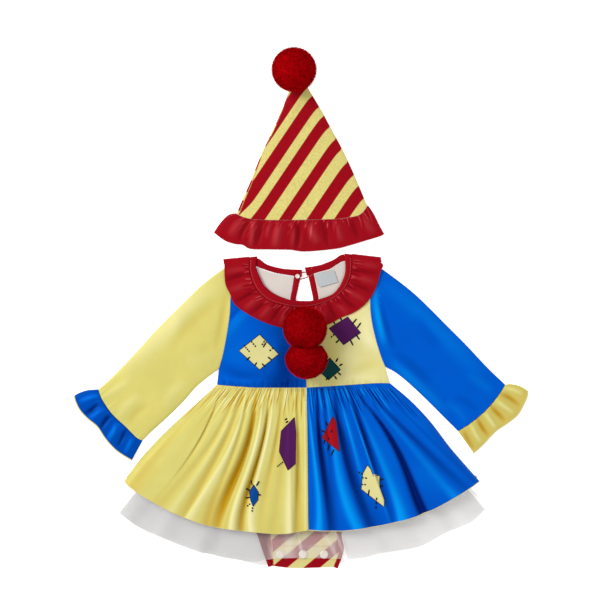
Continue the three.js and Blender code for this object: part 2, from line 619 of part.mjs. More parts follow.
// Leg edges of the brief: inner is where the panel ends and the binding begins.
const LEG_LEFT = {
  inner: [[-106, -131], [-97.5, -159], [-78, -177], [-62, -189], [-53.5, -213], [-45.5, -238.5]],
  outer: [[-112.7, -130], [-104, -163], [-82, -183], [-68, -193], [-60, -215], [-51.5, -238]],
};
const LEG_RIGHT = {
  inner: [[97, -131], [90, -156], [67, -174], [41, -188], [43.5, -217], [36, -240]],
  outer: [[103, -130], [96, -160], [72, -180], [48, -193], [50, -218], [42, -239.5]],
};

function brief(parent) {
  const top = edge([[-103, -10.5], [97, -10.5]]);
  const sideLeft = [[-103, -10.5], [-106, -70], [-106, -131]];
  const sideRight = [[97, -10.5], [98, -70], [97, -131]];
  const front = spanned({
    start: top,
    end: edge([[-45.5, -238.5], [-22, -241.3], [4.7, -241.3], [36, -240]]),
    left: edge(sideLeft, LEG_LEFT.inner),
    right: edge(sideRight, LEG_RIGHT.inner),
  });
  const back = spanned({
    start: top,
    end: edge([[-51.5, -238], [-5, -240], [42, -239.5]]),
    left: edge([[-103, -10.5], [-112.7, -130]], LEG_LEFT.outer),
    right: edge([[97, -10.5], [103, -130]], LEG_RIGHT.outer),
  });
  const ROWS = 12;
  node(parent, "brief_front", COLOUR.red, panel(front, briefFrontLow, THIN, 6, ROWS));
  node(parent, "brief_back", COLOUR.red, panel(back, briefBackLow, THIN, 6, ROWS));

  // Each leg binding runs down the panel's own edge, from the side seam to the crotch.
  const BINDING = { width: 6, from: 6 / ROWS };
  for (const [name, side, outward] of [["left", 0, -1], ["right", 1, 1]]) {
    const plan = (u, v) => {
      const t = between(BINDING.from, 1, v);
      const along = front(side, Math.min(t + 0.02, 1)).sub(front(side, t - 0.02)).normalize();
      const across = new THREE.Vector2(-along.y, along.x).multiplyScalar(outward);
      return front(side, t).addScaledVector(across, between(0.7, BINDING.width, u));
    };
    node(parent, `leg_binding_${name}`, COLOUR.red,
      panel(plan, briefFrontLow, CLOTH, 1, ROWS - 6));
  }
  snaps(parent);
}

function snaps(parent) {
  const SNAP = { radius: 5.6, thickness: 1.8, y: -222.9 };
  const PLACES = { left: -35.3, middle: -4.8, right: 23.3 };
  const { radius, thickness } = SNAP;
  const profile = [
    [0, 0], [radius - 0.3, 0], [radius, 0.3], [radius, 0.9], [radius * 0.62, thickness],
    [radius * 0.35, thickness - 0.5], [0, thickness - 0.5],
  ].map(([r, z]) => new THREE.Vector2(r, z));
  for (const [name, x] of Object.entries(PLACES)) {
    const snap = new THREE.LatheGeometry(profile, 14);
    snap.rotateX(Math.PI / 2);
    snap.translate(x, SNAP.y, briefFrontLow(x, SNAP.y - SNAP.radius) + THIN + 1.0);
    node(parent, `snap_${name}`, COLOUR.snap, snap, 0.3);
  }
}

// ---- Pompoms and patches ----

function pompoms(parent) {
  const MEET = 56; // where the two balls press on each other
  node(parent, "pompom_upper", COLOUR.pompom, pompom({
    x: -2, y: 78.7, low: 11, centre: 33.5, radius: POM_RADIUS, squash: 0.82, keepAbove: MEET + 0.3,
  }), 0.95);
  node(parent, "pompom_lower", COLOUR.pompom, pompom({
    x: 0, y: 40, low: 6.7, centre: 29.5, radius: POM_RADIUS - 0.7, squash: 0.82, keepBelow: MEET - 0.3,
  }), 0.95);
}

// Applied patches: each is ruled between its left and right sides, from top to bottom.
const PATCHES = [
  {
    name: "patch_bodice_yellow", colour: COLOUR.yellow, on: bodiceLow,
    left: [[-63.6, 70.1], [-90.1, 48.5]], right: [[-37.1, 44], [-64.3, 23.2]],
  },
  {
    name: "patch_bodice_purple", colour: COLOUR.purple, on: bodiceLow,
    left: [[54.9, 93.6], [30, 78.3]], right: [[72.1, 72.4], [49.5, 56.3]],
  },
  {
    name: "patch_bodice_green", colour: COLOUR.green, on: bodiceLow,
    left: [[31.1, 38.9], [17, 21]], right: [[45.3, 23.2], [29.5, 9.6]],
  },
  {
    name: "patch_skirt_purple", colour: COLOUR.purple, on: skirtLow,
    left: [[-33.7, -58.1], [-36.3, -85.1], [-24.7, -109.7]],
    right: [[-16.1, -40], [-14, -60], [-14.7, -101.3]],
  },
  {
    name: "patch_skirt_blue", colour: COLOUR.blue, on: skirtLow,
    left: [[-70, -129.9], [-77.1, -138.7], [-75.3, -149.3]],
    right: [[-63.7, -142.4], [-65.5, -149.3], [-70.8, -156.8]],
  },
  {
    name: "patch_skirt_red", colour: COLOUR.red, on: skirtLow,
    left: [[34.9, -38.4], [20.5, -67.1]], right: [[39.3, -45.3], [43.9, -85.1]],
  },
  {
    name: "patch_skirt_yellow", colour: COLOUR.yellow, on: skirtLow,
    left: [[78.9, -102.9], [72.7, -135.3]],
    right: [[85.2, -108.4], [88.7, -117.3], [97.3, -117.3], [96.3, -129.9], [104, -149.3], [102.8, -158.7]],
  },
];

function patches(parent) {
  for (const { name, colour, on, left, right } of PATCHES) {
    const straight = (points) => edge(...points.slice(1).map((point, i) => [points[i], point]));
    const plan = ruled(straight(left), straight(right));
    const onSkirt = on === skirtLow;
    const low = (x, y) => on(x, y) + CLOTH + (onSkirt ? 1.2 : LAYER);
    node(parent, name, colour, panel(plan, low, THIN, onSkirt ? 6 : 3, onSkirt ? 5 : 3));
  }
}

// ---- The set ----

const costume = new THREE.Group();
const dress = new THREE.Group();
const cap = new THREE.Group();
dress.position.set(DRESS_PLACE.x, DRESS_PLACE.y, 0);
cap.position.set(HAT_PLACE.x, HAT_PLACE.y, 0);
costume.add(dress, cap);

hat(cap);
bodice(dress);
neck(dress);
collar(dress);
sleeves(dress);
skirt(dress);
underskirt(dress);
brief(dress);
pompoms(dress);
patches(dress);

export default costume;
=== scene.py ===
import bpy
import math
import numpy as np
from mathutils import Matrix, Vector


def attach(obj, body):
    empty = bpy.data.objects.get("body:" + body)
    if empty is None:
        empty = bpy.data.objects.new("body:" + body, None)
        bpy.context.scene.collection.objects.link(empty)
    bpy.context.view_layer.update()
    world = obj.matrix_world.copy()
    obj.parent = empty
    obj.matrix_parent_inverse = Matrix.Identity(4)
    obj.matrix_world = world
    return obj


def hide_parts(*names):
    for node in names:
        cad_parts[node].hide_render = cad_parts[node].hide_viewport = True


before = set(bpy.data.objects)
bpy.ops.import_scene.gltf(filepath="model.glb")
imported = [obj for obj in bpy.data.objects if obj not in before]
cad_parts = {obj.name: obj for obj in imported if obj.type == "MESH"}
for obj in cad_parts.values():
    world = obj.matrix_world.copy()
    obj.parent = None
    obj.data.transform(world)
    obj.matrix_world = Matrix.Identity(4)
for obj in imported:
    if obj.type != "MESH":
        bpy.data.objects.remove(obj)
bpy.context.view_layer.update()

MM = 0.001
DRESS = (7.19, -105.02)  # where the dress's and the hat's own origins lie in the frame
HAT = (-1.51, 117.68)


# ---- Camera, light and floor ----

def camera():
    data = bpy.data.cameras.new("camera")
    data.sensor_width = 36
    data.lens = 135  # 3 m away this frames 0.8 m
    data.clip_end = 30
    cam = bpy.data.objects.new("camera", data)
    cam.location = (-0.0015, 0.011, 3.004)
    bpy.context.scene.collection.objects.link(cam)
    bpy.context.scene.camera = cam


def soft_light(name, location, size, watts):
    data = bpy.data.lights.new(name, "AREA")
    data.shape = "DISK"
    data.size = size
    data.energy = watts
    light = bpy.data.objects.new(name, data)
    light.location = location
    light.rotation_euler = (-Vector(location)).to_track_quat("-Z", "Y").to_euler()
    bpy.context.scene.collection.objects.link(light)


def studio():
    world = bpy.data.worlds.new("studio")
    world.use_nodes = True
    background = world.node_tree.nodes["Background"].inputs
    background["Color"].default_value = (1, 1, 1, 1)
    background["Strength"].default_value = 0.82
    bpy.context.scene.world = world
    soft_light("key", (-2.0, 1.0, 2.0), 1.3, 74)
    soft_light("fill", (1.4, -0.9, 2.4), 1.8, 14)
    bpy.context.scene.view_settings.view_transform = "Standard"
    bpy.ops.mesh.primitive_plane_add(size=9, location=(0, 0, -0.0004))
    floor = bpy.context.object
    floor.name = "floor"
    pale = plain("floor", (0.97, 0.97, 0.97), roughness=1.0, specular=0.0, glow=0.42)
    floor.data.materials.append(pale)


# ---- Materials ----

def linear(red, green, blue):
    def one(c):
        c /= 255
        return c / 12.92 if c <= 0.04045 else ((c + 0.055) / 1.055) ** 2.4
    return (one(red), one(green), one(blue))


LIGHT = 1.45  # how much brighter than its own colour a surface that faces up comes out


def cloth_colour(red, green, blue):
    return tuple(c / LIGHT for c in linear(red, green, blue))


def blank(name):
    material = bpy.data.materials.new(name)
    material.use_nodes = True
    tree = material.node_tree
    return material, tree, tree.nodes["Principled BSDF"]


def plain(name, colour, roughness=0.6, specular=0.3, coat=0.0, glow=0.0):
    material, _, shader = blank(name)
    if glow:
        shader.inputs["Emission Color"].default_value = (1, 1, 1, 1)
        shader.inputs["Emission Strength"].default_value = glow
    shader.inputs["Base Color"].default_value = (*colour, 1)
    shader.inputs["Roughness"].default_value = roughness
    shader.inputs["Specular IOR Level"].default_value = specular
    shader.inputs["Coat Weight"].default_value = coat
    return material


def mixed(tree, first, second, factor):
    mix = tree.nodes.new("ShaderNodeMix")
    mix.data_type = "RGBA"
    for index, value in ((6, first), (7, second)):
        if isinstance(value, tuple):
            mix.inputs[index].default_value = (*value, 1)
        else:
            tree.links.new(value, mix.inputs[index])
    tree.links.new(factor, mix.inputs[0])
    return mix.outputs[2]


def texture(tree, kind, scale, **settings):
    place = tree.nodes.new("ShaderNodeTexCoord")
    node = tree.nodes.new(kind)
    node.inputs["Scale"].default_value = scale
    for key, value in settings.items():
        node.inputs[key].default_value = value
    tree.links.new(place.outputs["Object"], node.inputs["Vector"])
    return node


def remapped(tree, value, low, high, first=0.0, last=1.0):
    """The value spread from low and high to first and last, and held at its ends."""
    node = tree.nodes.new("ShaderNodeMapRange")
    for index, limit in enumerate((low, high, first, last)):
        node.inputs[index + 1].default_value = limit
    tree.links.new(value, node.inputs[0])
    return node.outputs[0]


def maths(tree, operation, *values):
    node = tree.nodes.new("ShaderNodeMath")
    node.operation = operation
    for value, socket in zip(values, node.inputs):
        if isinstance(value, float):
            socket.default_value = value
        else:
            tree.links.new(value, socket)
    return node.outputs[0]


def attribute(tree, name):
    """A number that the mesh holds at each point."""
    node = tree.nodes.new("ShaderNodeAttribute")
    node.attribute_name = name
    return node.outputs["Fac"]


def knit_bump(tree, shader):
    """Fine ribs of the knit, 1.8 mm apart, over a little unevenness."""
    bump = tree.nodes.new("ShaderNodeBump")
    bump.inputs["Strength"].default_value = 0.12
    bump.inputs["Distance"].default_value = 0.0002
    ribs = texture(tree, "ShaderNodeTexWave", 174.44, Distortion=1.2, Detail=1.0)
    grain = texture(tree, "ShaderNodeTexNoise", 900.0, Detail=2.0)
    height = maths(tree, "MULTIPLY_ADD", ribs.outputs["Fac"], 0.5, grain.outputs["Fac"])
    tree.links.new(height, bump.inputs["Height"])
    tree.links.new(bump.outputs["Normal"], shader.inputs["Normal"])


def satin(name, colour, stripe=None, sheen=0.2, specular=0.25, roughness=0.42, tint=None, deep=None,
          light=None, mottle=0.045, lump=26.0):
    """Satin-faced knit: its highlights take the colour of the cloth. With a stripe colour, the
    mesh's stripe value says which stripe a point is in; its tone value, from -1 in the hollows to
    1 on sharp crests, paints shade into the hollows with the deep colour and a highlight onto the
    crests with the light colour."""
    material, tree, shader = blank(name)
    patchy = texture(tree, "ShaderNodeTexNoise", lump, Detail=3.0, Roughness=0.6)
    uneven = remapped(tree, patchy.outputs["Fac"], 0.3, 0.7)

    def mottled(base):
        darker, lighter = (tuple(min(c * share, 1) for c in base) for share in (1 - mottle, 1 + mottle))
        return mixed(tree, darker, lighter, uneven)
    face = mottled(colour)
    if stripe:
        wave = maths(tree, "PINGPONG", attribute(tree, "stripe"), 1.0)
        face = mixed(tree, face, mottled(stripe), remapped(tree, wave, 0.47, 0.53))
    tone = attribute(tree, "tone")
    # The deep colour is painted shade, mixed in towards the hollows.
    if deep:
        face = mixed(tree, face, deep, remapped(tree, tone, 0, -1))
    # The light colour is a painted highlight, mixed in towards the crests.
    if light:
        face = mixed(tree, face, light, remapped(tree, tone, 0, 1))
    tree.links.new(face, shader.inputs["Base Color"])
    shine = tint or tuple(min(1.0, c * 1.5 + 0.02) for c in colour)
    shader.inputs["Roughness"].default_value = roughness
    shader.inputs["Specular IOR Level"].default_value = specular
    shader.inputs["Specular Tint"].default_value = (*shine, 1)
    shader.inputs["Sheen Weight"].default_value = sheen
    shader.inputs["Sheen Roughness"].default_value = 0.45
    shader.inputs["Sheen Tint"].default_value = (*shine, 1)
    knit_bump(tree, shader)
    return material


def net(name):
    """Soft tulle: a fine net that lets three quarters of what lies under it show. It is denser
    where its tone is off 0: whiter above 0, where folds lie together, and greyer below, which is painted shade."""
    material, tree, shader = blank(name)
    tone = attribute(tree, "tone")
    # Below 0 the net's colour goes towards near black: painted shade.
    greyer = mixed(tree, (0.75, 0.72, 0.70), (0.05, 0.056, 0.056), remapped(tree, tone, 0, -1))
    whiter = mixed(tree, greyer, (0.80, 0.75, 0.74), remapped(tree, tone, 0, 1))
    tree.links.new(whiter, shader.inputs["Base Color"])
    shader.inputs["Roughness"].default_value = 0.9
    shader.inputs["Specular IOR Level"].default_value = 0.1
    cells = texture(tree, "ShaderNodeTexVoronoi", 1300.0)
    cells.feature = "DISTANCE_TO_EDGE"
    threads = remapped(tree, cells.outputs["Distance"], 0.02, 0.25, 0.29, 0.21)
    cover = maths(tree, "MULTIPLY_ADD", maths(tree, "ABSOLUTE", tone), 0.3, threads)
    tree.links.new(cover, shader.inputs["Alpha"])
    return material


def yarn(name, colour, tip):
    """Clipped wool yarn: dark between the fibres, brighter where light grazes the pile."""
    material, tree, shader = blank(name)
    clumps = texture(tree, "ShaderNodeTexNoise", 70.0, Detail=2.0)
    tips = remapped(tree, clumps.outputs["Fac"], 0.35, 0.65)
    tree.links.new(mixed(tree, colour, tip, tips), shader.inputs["Base Color"])
    shader.inputs["Roughness"].default_value = 1.0
    shader.inputs["Specular IOR Level"].default_value = 0.0
    shader.inputs["Sheen Weight"].default_value = 0.9
    shader.inputs["Sheen Roughness"].default_value = 0.35
    shader.inputs["Sheen Tint"].default_value = (1.0, 0.002, 0.008, 1)
    return material


YELLOW = cloth_colour(218, 208, 116)
BLUE = cloth_colour(1, 88, 204)
RED = cloth_colour(156, 12, 26)
CREAM = cloth_colour(222, 212, 204)
# Each satin's deep colour is painted shade for the hollows of its folds, and its light colour a painted highlight
# for their crests.
STUFF = {
    "yellow": satin("yellow_satin", YELLOW, deep=cloth_colour(196, 150, 10), light=cloth_colour(247, 240, 184)),
    "blue": satin("blue_satin", BLUE, specular=0.35, tint=(0.0, 0.32, 1.0), deep=cloth_colour(0, 20, 108),
                  light=cloth_colour(4, 150, 244)),
    "red": satin("red_satin", RED, specular=0.15, sheen=0.08, tint=(1.0, 0.1, 0.12), deep=cloth_colour(92, 2, 10),
                 light=cloth_colour(222, 92, 98)),
    "cream": satin("wrong_side", CREAM, sheen=0.1, specular=0.1, roughness=0.7),
    "hat": satin("hat_stripes", RED, stripe=cloth_colour(222, 211, 126), specular=0.3, mottle=0.14, lump=420.0),
    "brief": satin("brief_stripes", RED, stripe=cloth_colour(226, 214, 140), specular=0.2),
    "hem": plain("overlock_thread", cloth_colour(222, 208, 140), roughness=0.8),
    "bar": plain("black_thread", (0.006, 0.006, 0.01), roughness=0.9, specular=0.1),
    "stitch": plain("red_thread", cloth_colour(208, 84, 88), roughness=0.6),
    "net": net("tulle_net"),
    "pom": yarn("pom_yarn", (0.33, 0.0006, 0.002), (0.40, 0.0008, 0.003)),
    # A darker copy of the pom yarn for the two front poms: painted shade.
    "front_pom": yarn("front_pom_yarn", (0.27, 0.0008, 0.0024), (0.335, 0.001, 0.0034)),
    "pearl": plain("pearl", cloth_colour(246, 222, 216), roughness=0.15, specular=0.6, coat=0.5),
    "snap": plain("snap_resin", cloth_colour(236, 226, 212), roughness=0.25, specular=0.5),
    "label": satin("label_satin", cloth_colour(190, 195, 198), sheen=0.1),
    "purple": satin("purple_print", cloth_colour(82, 30, 88), specular=0.15, sheen=0.1),
    "green": satin("green_print", cloth_colour(18, 66, 66)),
    "patch_red": satin("red_print", cloth_colour(164, 20, 32)),
    "patch_blue": satin("blue_print", cloth_colour(14, 72, 148)),
    "patch_yellow": satin("yellow_print", cloth_colour(226, 218, 150)),
    "maroon": plain("maroon_edge", cloth_colour(70, 14, 40), roughness=0.7),
    "navy": plain("navy_edge", cloth_colour(6, 16, 60), roughness=0.7),
}


# ---- Curves and plans ----

def run_points(points, steps=24):
    p = np.array(points, float)
    if len(p) == 2:
        return p
    padded = np.vstack([p[:1], p, p[-1:]])
    t = np.linspace(0, 1, steps, endpoint=False)[:, None]
    parts = []
    for a, b, c, d in zip(padded[:-3], padded[1:-2], padded[2:-1], padded[3:]):
        m0, m1 = (c - a) / 2, (d - b) / 2
        parts.append((2 * t**3 - 3 * t**2 + 1) * b + (t**3 - 2 * t**2 + t) * m0
                     + (3 * t**2 - 2 * t**3) * c + (t**3 - t**2) * m1)
    return np.vstack(parts + [p[-1:]])


class Edge:
    """A line through one or more runs of points, by the share of its length."""

    def __init__(self, *runs):
        line = np.vstack([run_points(run) for run in runs])
        keep = np.r_[True, np.linalg.norm(np.diff(line, axis=0), axis=1) > 1e-6]
        self.line = line[keep]
        self.at = np.r_[0, np.cumsum(np.linalg.norm(np.diff(self.line, axis=0), axis=1))]
        self.length = self.at[-1]

    def __call__(self, t):
        s = np.clip(t, 0, 1) * self.length
        return np.stack([np.interp(s, self.at, self.line[:, i]) for i in (0, 1)], -1)


SEAM = 0.35  # what shows between pieces sewn edge to edge


def spanned(start, end, left, right, seam=SEAM):
    """A plan spanned between four edges: start and end run along u, left and right along v."""
    margin_u = seam / 2 / min(start.length, end.length)
    margin_v = seam / 2 / min(left.length, right.length)
    a, b, c, d = start(0.0), start(1.0), end(0.0), end(1.0)

    def plan(u, v):
        s = margin_u + (1 - 2 * margin_u) * u
        t = margin_v + (1 - 2 * margin_v) * v
        s3, t3 = s[..., None], t[..., None]
        return (start(s) * (1 - t3) + end(s) * t3 + left(t) * (1 - s3) + right(t) * s3
                - a * (1 - s3) * (1 - t3) - b * s3 * (1 - t3) - c * (1 - s3) * t3 - d * s3 * t3)
    return plan


def ruled(first, second):
    return lambda u, v: first(u) * (1 - v[..., None]) + second(u) * v[..., None]


def smooth(t):
    s = np.clip(t, 0, 1)
    return s * s * (3 - 2 * s)


def mixf(a, b, t):
    return a + (b - a) * t


def level(z):
    """A surface that lies level at z."""
    return lambda x, y, u=None, v=None: np.full(x.shape, float(z))


def grid(columns, rows, crowd=1.0):
    u, v = np.meshgrid(np.linspace(0, 1, columns + 1), np.linspace(0, 1, rows + 1) ** crowd)
    return u, v


# ---- Unevenness ----

def noise(x, y, size, seed):
    """Smooth random height from -1 to 1, with lumps about size across."""
    table = np.random.RandomState(seed).uniform(-1, 1, (64, 64))
    gx, gy = np.asarray(x) / size + 900, np.asarray(y) / size + 900
    ix, iy = np.floor(gx).astype(int), np.floor(gy).astype(int)
    fx, fy = smooth(gx - ix), smooth(gy - iy)

    def at(i, j):
        return table[i % 64, j % 64]
    return mixf(mixf(at(ix, iy), at(ix + 1, iy), fx), mixf(at(ix, iy + 1), at(ix + 1, iy + 1), fx), fy)


def gathers(s, first, last, count, seed, sharp=0.42):
    """Uneven pleats along s: count crests between first and last, from 0 to about 1."""
    random = np.random.RandomState(seed)
    pitch = (last - first) / count
    total = np.zeros_like(s)
    for i in range(count):
        centre = first + pitch * (i + 0.5 + random.uniform(-0.28, 0.28))
        width = pitch * sharp * random.uniform(0.75, 1.25)
        total += random.uniform(0.45, 1.0) * np.exp(-((s - centre) / width) ** 2)
    return total


def tucked(s, v, first, last, count, seed, reach=0.4, width=0.085):
    """Sharp little crests that run out from a gathered seam at v = 0, uneven in place and length."""
    random = np.random.RandomState(seed)
    pitch = (last - first) / count
    total = np.zeros(np.broadcast(s, v).shape)
    for i in range(count):
        centre = first + pitch * (i + 0.5 + random.uniform(-0.42, 0.42))
        length = reach * random.uniform(0.35, 1.35)
        lean = random.uniform(-0.5, 0.5) * pitch
        near = np.exp(-((s - centre - lean * v / max(length, 0.1)) / (pitch * width)) ** 2)
        total = np.maximum(total, random.uniform(0.5, 1) * near * smooth((length - v) / (0.5 * length)))
    return total


def creases(x, y, table):
    """Soft ridges (height above 0) and troughs (below 0) along lines of points, tapered at both
    ends. Each row: x and y of each point in turn, then the half width and the height."""
    total = np.zeros_like(x)
    for *run, width, height in table:
        line = run_points(np.reshape(run, (-1, 2)), 6)
        lengths = np.r_[0, np.cumsum(np.linalg.norm(np.diff(line, axis=0), axis=1))]
        best = np.full(x.shape, 1e9)
        where = np.zeros_like(x)
        for (ax, ay), (bx, by), s0, s1 in zip(line[:-1], line[1:], lengths[:-1], lengths[1:]):
            dx, dy = bx - ax, by - ay
            t = np.clip(((x - ax) * dx + (y - ay) * dy) / (dx * dx + dy * dy), 0, 1)
            far = np.hypot(x - ax - t * dx, y - ay - t * dy)
            closer = far < best
            best = np.where(closer, far, best)
            where = np.where(closer, (s0 + t * (s1 - s0)) / lengths[-1], where)
        total += height * np.exp(-(best / width) ** 2) * np.sin(np.pi * np.clip(where, 0, 1)) ** 0.7
    return total


# ---- Meshes ----

def piece(name, points, faces, stuff, indices=None, stripe=None, place=DRESS, sharp=70, tone=None,
          normals=None):
    """A mesh that rides on the body, and replaces the CAD's node if it has that node's name."""
    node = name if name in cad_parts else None
    name = name + "_cloth" if node else name
    mesh = bpy.data.meshes.new(name)
    at = np.asarray(points, float) + np.array([place[0], place[1], 0])
    mesh.from_pydata((at * MM).tolist(), [], faces if isinstance(faces, list) else faces.tolist())
    for kind in ([stuff] if isinstance(stuff, str) else stuff):
        mesh.materials.append(STUFF[kind])
    if indices is not None:
        mesh.polygons.foreach_set("material_index", indices)
    if stripe is not None:
        mesh.attributes.new("stripe", "FLOAT", "POINT").data.foreach_set("value", stripe)
    if tone is not None:
        mesh.attributes.new("tone", "FLOAT", "POINT").data.foreach_set("value", tone)
    mesh.polygons.foreach_set("use_smooth", [True] * len(mesh.polygons))
    mesh.set_sharp_from_angle(angle=math.radians(sharp))
    mesh.update()
    if normals is not None:
        mesh.normals_split_custom_set_from_vertices(normals.tolist())
    o = bpy.data.objects.new(name, mesh)
    bpy.context.scene.collection.objects.link(o)
    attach(o, "root")
    if node:
        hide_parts(node)
    return o


def enclosed(points, faces):
    """The signed volume inside a closed surface of four-sided faces."""
    a, b, c, d = (points[faces[:, i]] for i in range(4))
    return np.einsum("ij,ij->", a, np.cross(b, c) + np.cross(c, d)) / 6


def unit(vectors):
    return vectors / np.linalg.norm(vectors, axis=1)[:, None]


def quads(rows, columns, ring=False):
    """Four-sided faces between the points of a grid; a ring joins its last column to its first."""
    index = np.arange(rows * columns).reshape(rows, columns)
    after = np.roll(index, -1, axis=1)
    spans = columns if ring else columns - 1
    corners = index[:-1, :spans], after[:-1, :spans], after[1:, :spans], index[1:, :spans]
    return np.stack(corners, -1).reshape(-1, 4)


def shell(name, top, low, stuff, ring=False, stripe=None, place=DRESS, sharp=70, tone=None):
    """A closed cloth wall between two grids of points, rows x columns x 3. stuff is the material
    outside, and inside if there is a second; a ring joins its last column to its first."""
    rows, columns = top.shape[0], top.shape[1]
    layer = rows * columns
    index = np.arange(layer).reshape(rows, columns)
    after = np.roll(index, -1, axis=1)
    spans = columns if ring else columns - 1
    outer = quads(rows, columns, ring)
    inner = outer[:, ::-1] + layer
    first, last = index[0], index[-1]
    rims = [np.stack([b, a, a + layer, b + layer], -1) for a, b in (
        (first[:spans], after[0, :spans]), (after[-1, :spans], last[:spans]))]
    if not ring:
        left, right = index[:, 0], index[:, -1]
        rims += [np.stack([b, a, a + layer, b + layer], -1) for a, b in (
            (left[1:], left[:-1]), (right[:-1], right[1:]))]
    rim = np.vstack(rims)
    faces = np.vstack([outer, inner, rim])
    points = np.vstack([top.reshape(-1, 3), low.reshape(-1, 3)])
    if enclosed(points, faces) < 0:
        faces = faces[:, ::-1]
    both = not isinstance(stuff, str)
    indices = np.r_[np.zeros(len(outer), int), np.full(len(inner), 1 if both else 0), np.zeros(len(rim), int)]
    if stripe is not None:
        stripe = np.r_[stripe.ravel(), stripe.ravel()]
    if tone is not None:
        tone = np.r_[np.clip(tone, -1, 1).ravel(), np.zeros(layer)]
    return piece(name, points, faces, stuff, indices, stripe, place, sharp, tone)


def panel(name, plan, height, thickness, size, stuff, crowd=1.0, stripe=None, tone=None):
    """A single layer of cloth on a plan, its upper side at height(x, y, u, v)."""
    u, v = grid(*size, crowd)
    xy = plan(u, v)
    z = height(xy[..., 0], xy[..., 1], u, v)
    top = np.dstack([xy, z])
    low = np.dstack([xy, z - thickness])
    marks = None if stripe is None else stripe(xy[..., 0], xy[..., 1])
    shade = None if tone is None else tone(xy[..., 0], xy[..., 1], u, v)
    return shell(name, top, low, stuff, stripe=marks, tone=shade)


def tube(name, plan, size, height, stuff, lift, tone=None, stripe=None, place=DRESS):
    """A cloth tube pressed flat on a plan whose u crosses it from fold to fold, both ends open.
    lift(x, y, u, v) is added to the upper side."""
    around, rows = size
    edge, cloth = 2.0, 0.9  # the height of its folded edges, and the wall
    angle, v = np.meshgrid(np.arange(around) / around * 2 * math.pi, np.linspace(0, 1, rows + 1))
    swing = np.sin(angle)
    u = (1 - np.cos(angle)) / 2
    across = np.linalg.norm(plan(np.ones_like(v), v) - plan(np.zeros_like(v), v), axis=-1)

    def surface(inset):
        margin = inset * 1.2 / across
        uu = margin + (1 - 2 * margin) * u
        xy = plan(uu, v)
        x, y = xy[..., 0], xy[..., 1]
        above = (height - edge - inset) * np.abs(swing) ** 0.6
        above = above + lift(x, y, uu, v) * np.abs(swing) ** 0.35
        below = (edge - inset) * np.minimum(1, 2.2 * np.abs(swing))
        z = edge + np.where(swing > 0, np.maximum(above, 0.2 - inset * 0.1), -below)
        return np.dstack([xy, z])
    outside, inside = surface(0), surface(cloth)
    marks = None if stripe is None else stripe(outside[..., 0], outside[..., 1], angle)
    shade = None if tone is None else tone(outside[..., 0], outside[..., 1], u, v) * (swing > 0)
    return shell(name, outside, inside, stuff, ring=True, stripe=marks, place=place, tone=shade)


def thread(name, line, radius, stuff, closed=False):
    """A round thread along points, as one mesh."""
    sides = 6
    p = np.asarray(line, float)
    ahead = np.roll(p, -1, axis=0) - np.roll(p, 1, axis=0)
    if not closed:
        ahead[0], ahead[-1] = p[1] - p[0], p[-1] - p[-2]
    ahead = unit(ahead)
    side = unit(np.cross(ahead, [0, 0, 1]))
    up = np.cross(side, ahead)
    turns = (np.arange(sides) / sides * 2 * math.pi)[:, None]
    ring = p[:, None] + radius * (np.cos(turns) * side[:, None] + np.sin(turns) * up[:, None])
    points = ring.reshape(-1, 3)
    faces = (quads(len(p) + closed, sides, ring=True) % len(points)).tolist()
    if not closed:
        faces += [list(range(sides))[::-1], list(range(len(points) - sides, len(points)))]
    return piece(name, points, faces, stuff)


def bars(name, table, height, stuff, width=1.1):
    """Short stitches laid on a surface, all in one mesh. Each row: x, y at one end, x, y at the
    other, and how many dashes it is broken into."""
    taper = np.array([0.6, 1, 1, 1, 0.6])
    dash = quads(4, 5).tolist() + [[0, 5, 10, 15], [19, 14, 9, 4]]
    dash += [[15 + i, 16 + i, 1 + i, i] for i in range(4)]
    points, faces = [], []
    for x0, y0, x1, y1, dashes in table:
        run = math.hypot(x1 - x0, y1 - y0)
        nx, ny = -(y1 - y0) / run * width / 2, (x1 - x0) / run * width / 2
        share = 1.0 if dashes == 1 else 0.62
        for k in range(dashes):
            t = np.linspace(k / dashes, (k + share) / dashes, 5)
            x, y = mixf(x0, x1, t), mixf(y0, y1, t)
            faces += [[len(points) + corner for corner in face] for face in dash]
            for side, lift in ((-1, 0.05), (-0.6, 0.55), (0.6, 0.55), (1, 0.05)):
                px, py = x + side * nx * taper, y + side * ny * taper
                points += np.stack([px, py, height(x, y) + lift], -1).tolist()
    return piece(name, points, faces, stuff, sharp=60)


# ---- Outlines of the dress ----

ARMHOLE_LEFT = [
    [-117.5, 23.6], [-112, 42.7], [-106.7, 69.3], [-102.7, 96], [-101.3, 121], [-99.5, 145], [-97.5, 163]]
ARMHOLE_RIGHT = [
    [105.3, 26.7], [99.3, 41.3], [91.3, 68], [86, 94.7], [84.7, 120], [85.5, 143], [87.5, 165]]
WAIST_LEFT = [[-120, 3], [-88.7, 0.7], [-62, -0.7], [0, -0.7]]
WAIST_RIGHT = [[0, -0.7], [44.7, 2], [91.3, 5], [111.5, 5]]
NECK_INNER = [
    [-65.3, 174.4], [-67.3, 160.9], [-61.2, 144.7], [-54.3, 133.3], [-42, 124], [-22, 116.3], [-5, 114.9],
    [10, 115.7], [31.9, 122.4], [42.7, 132.4], [49.6, 146.3], [51.9, 158.7], [50.5, 178]]
NECK_OUTER_LEFT = [
    [0, 107], [-14.3, 106.7], [-40.4, 111.6], [-54.3, 117.7], [-63.6, 126.3], [-71.3, 138.7],
    [-75.9, 155.5], [-75.6, 173.6]]
NECK_OUTER_RIGHT = [
    [0, 107], [16.4, 110.1], [31.9, 116.3], [44.1, 124.7], [53.3, 135.5], [58.8, 149.3], [60.3, 163.2],
    [60, 177.4]]
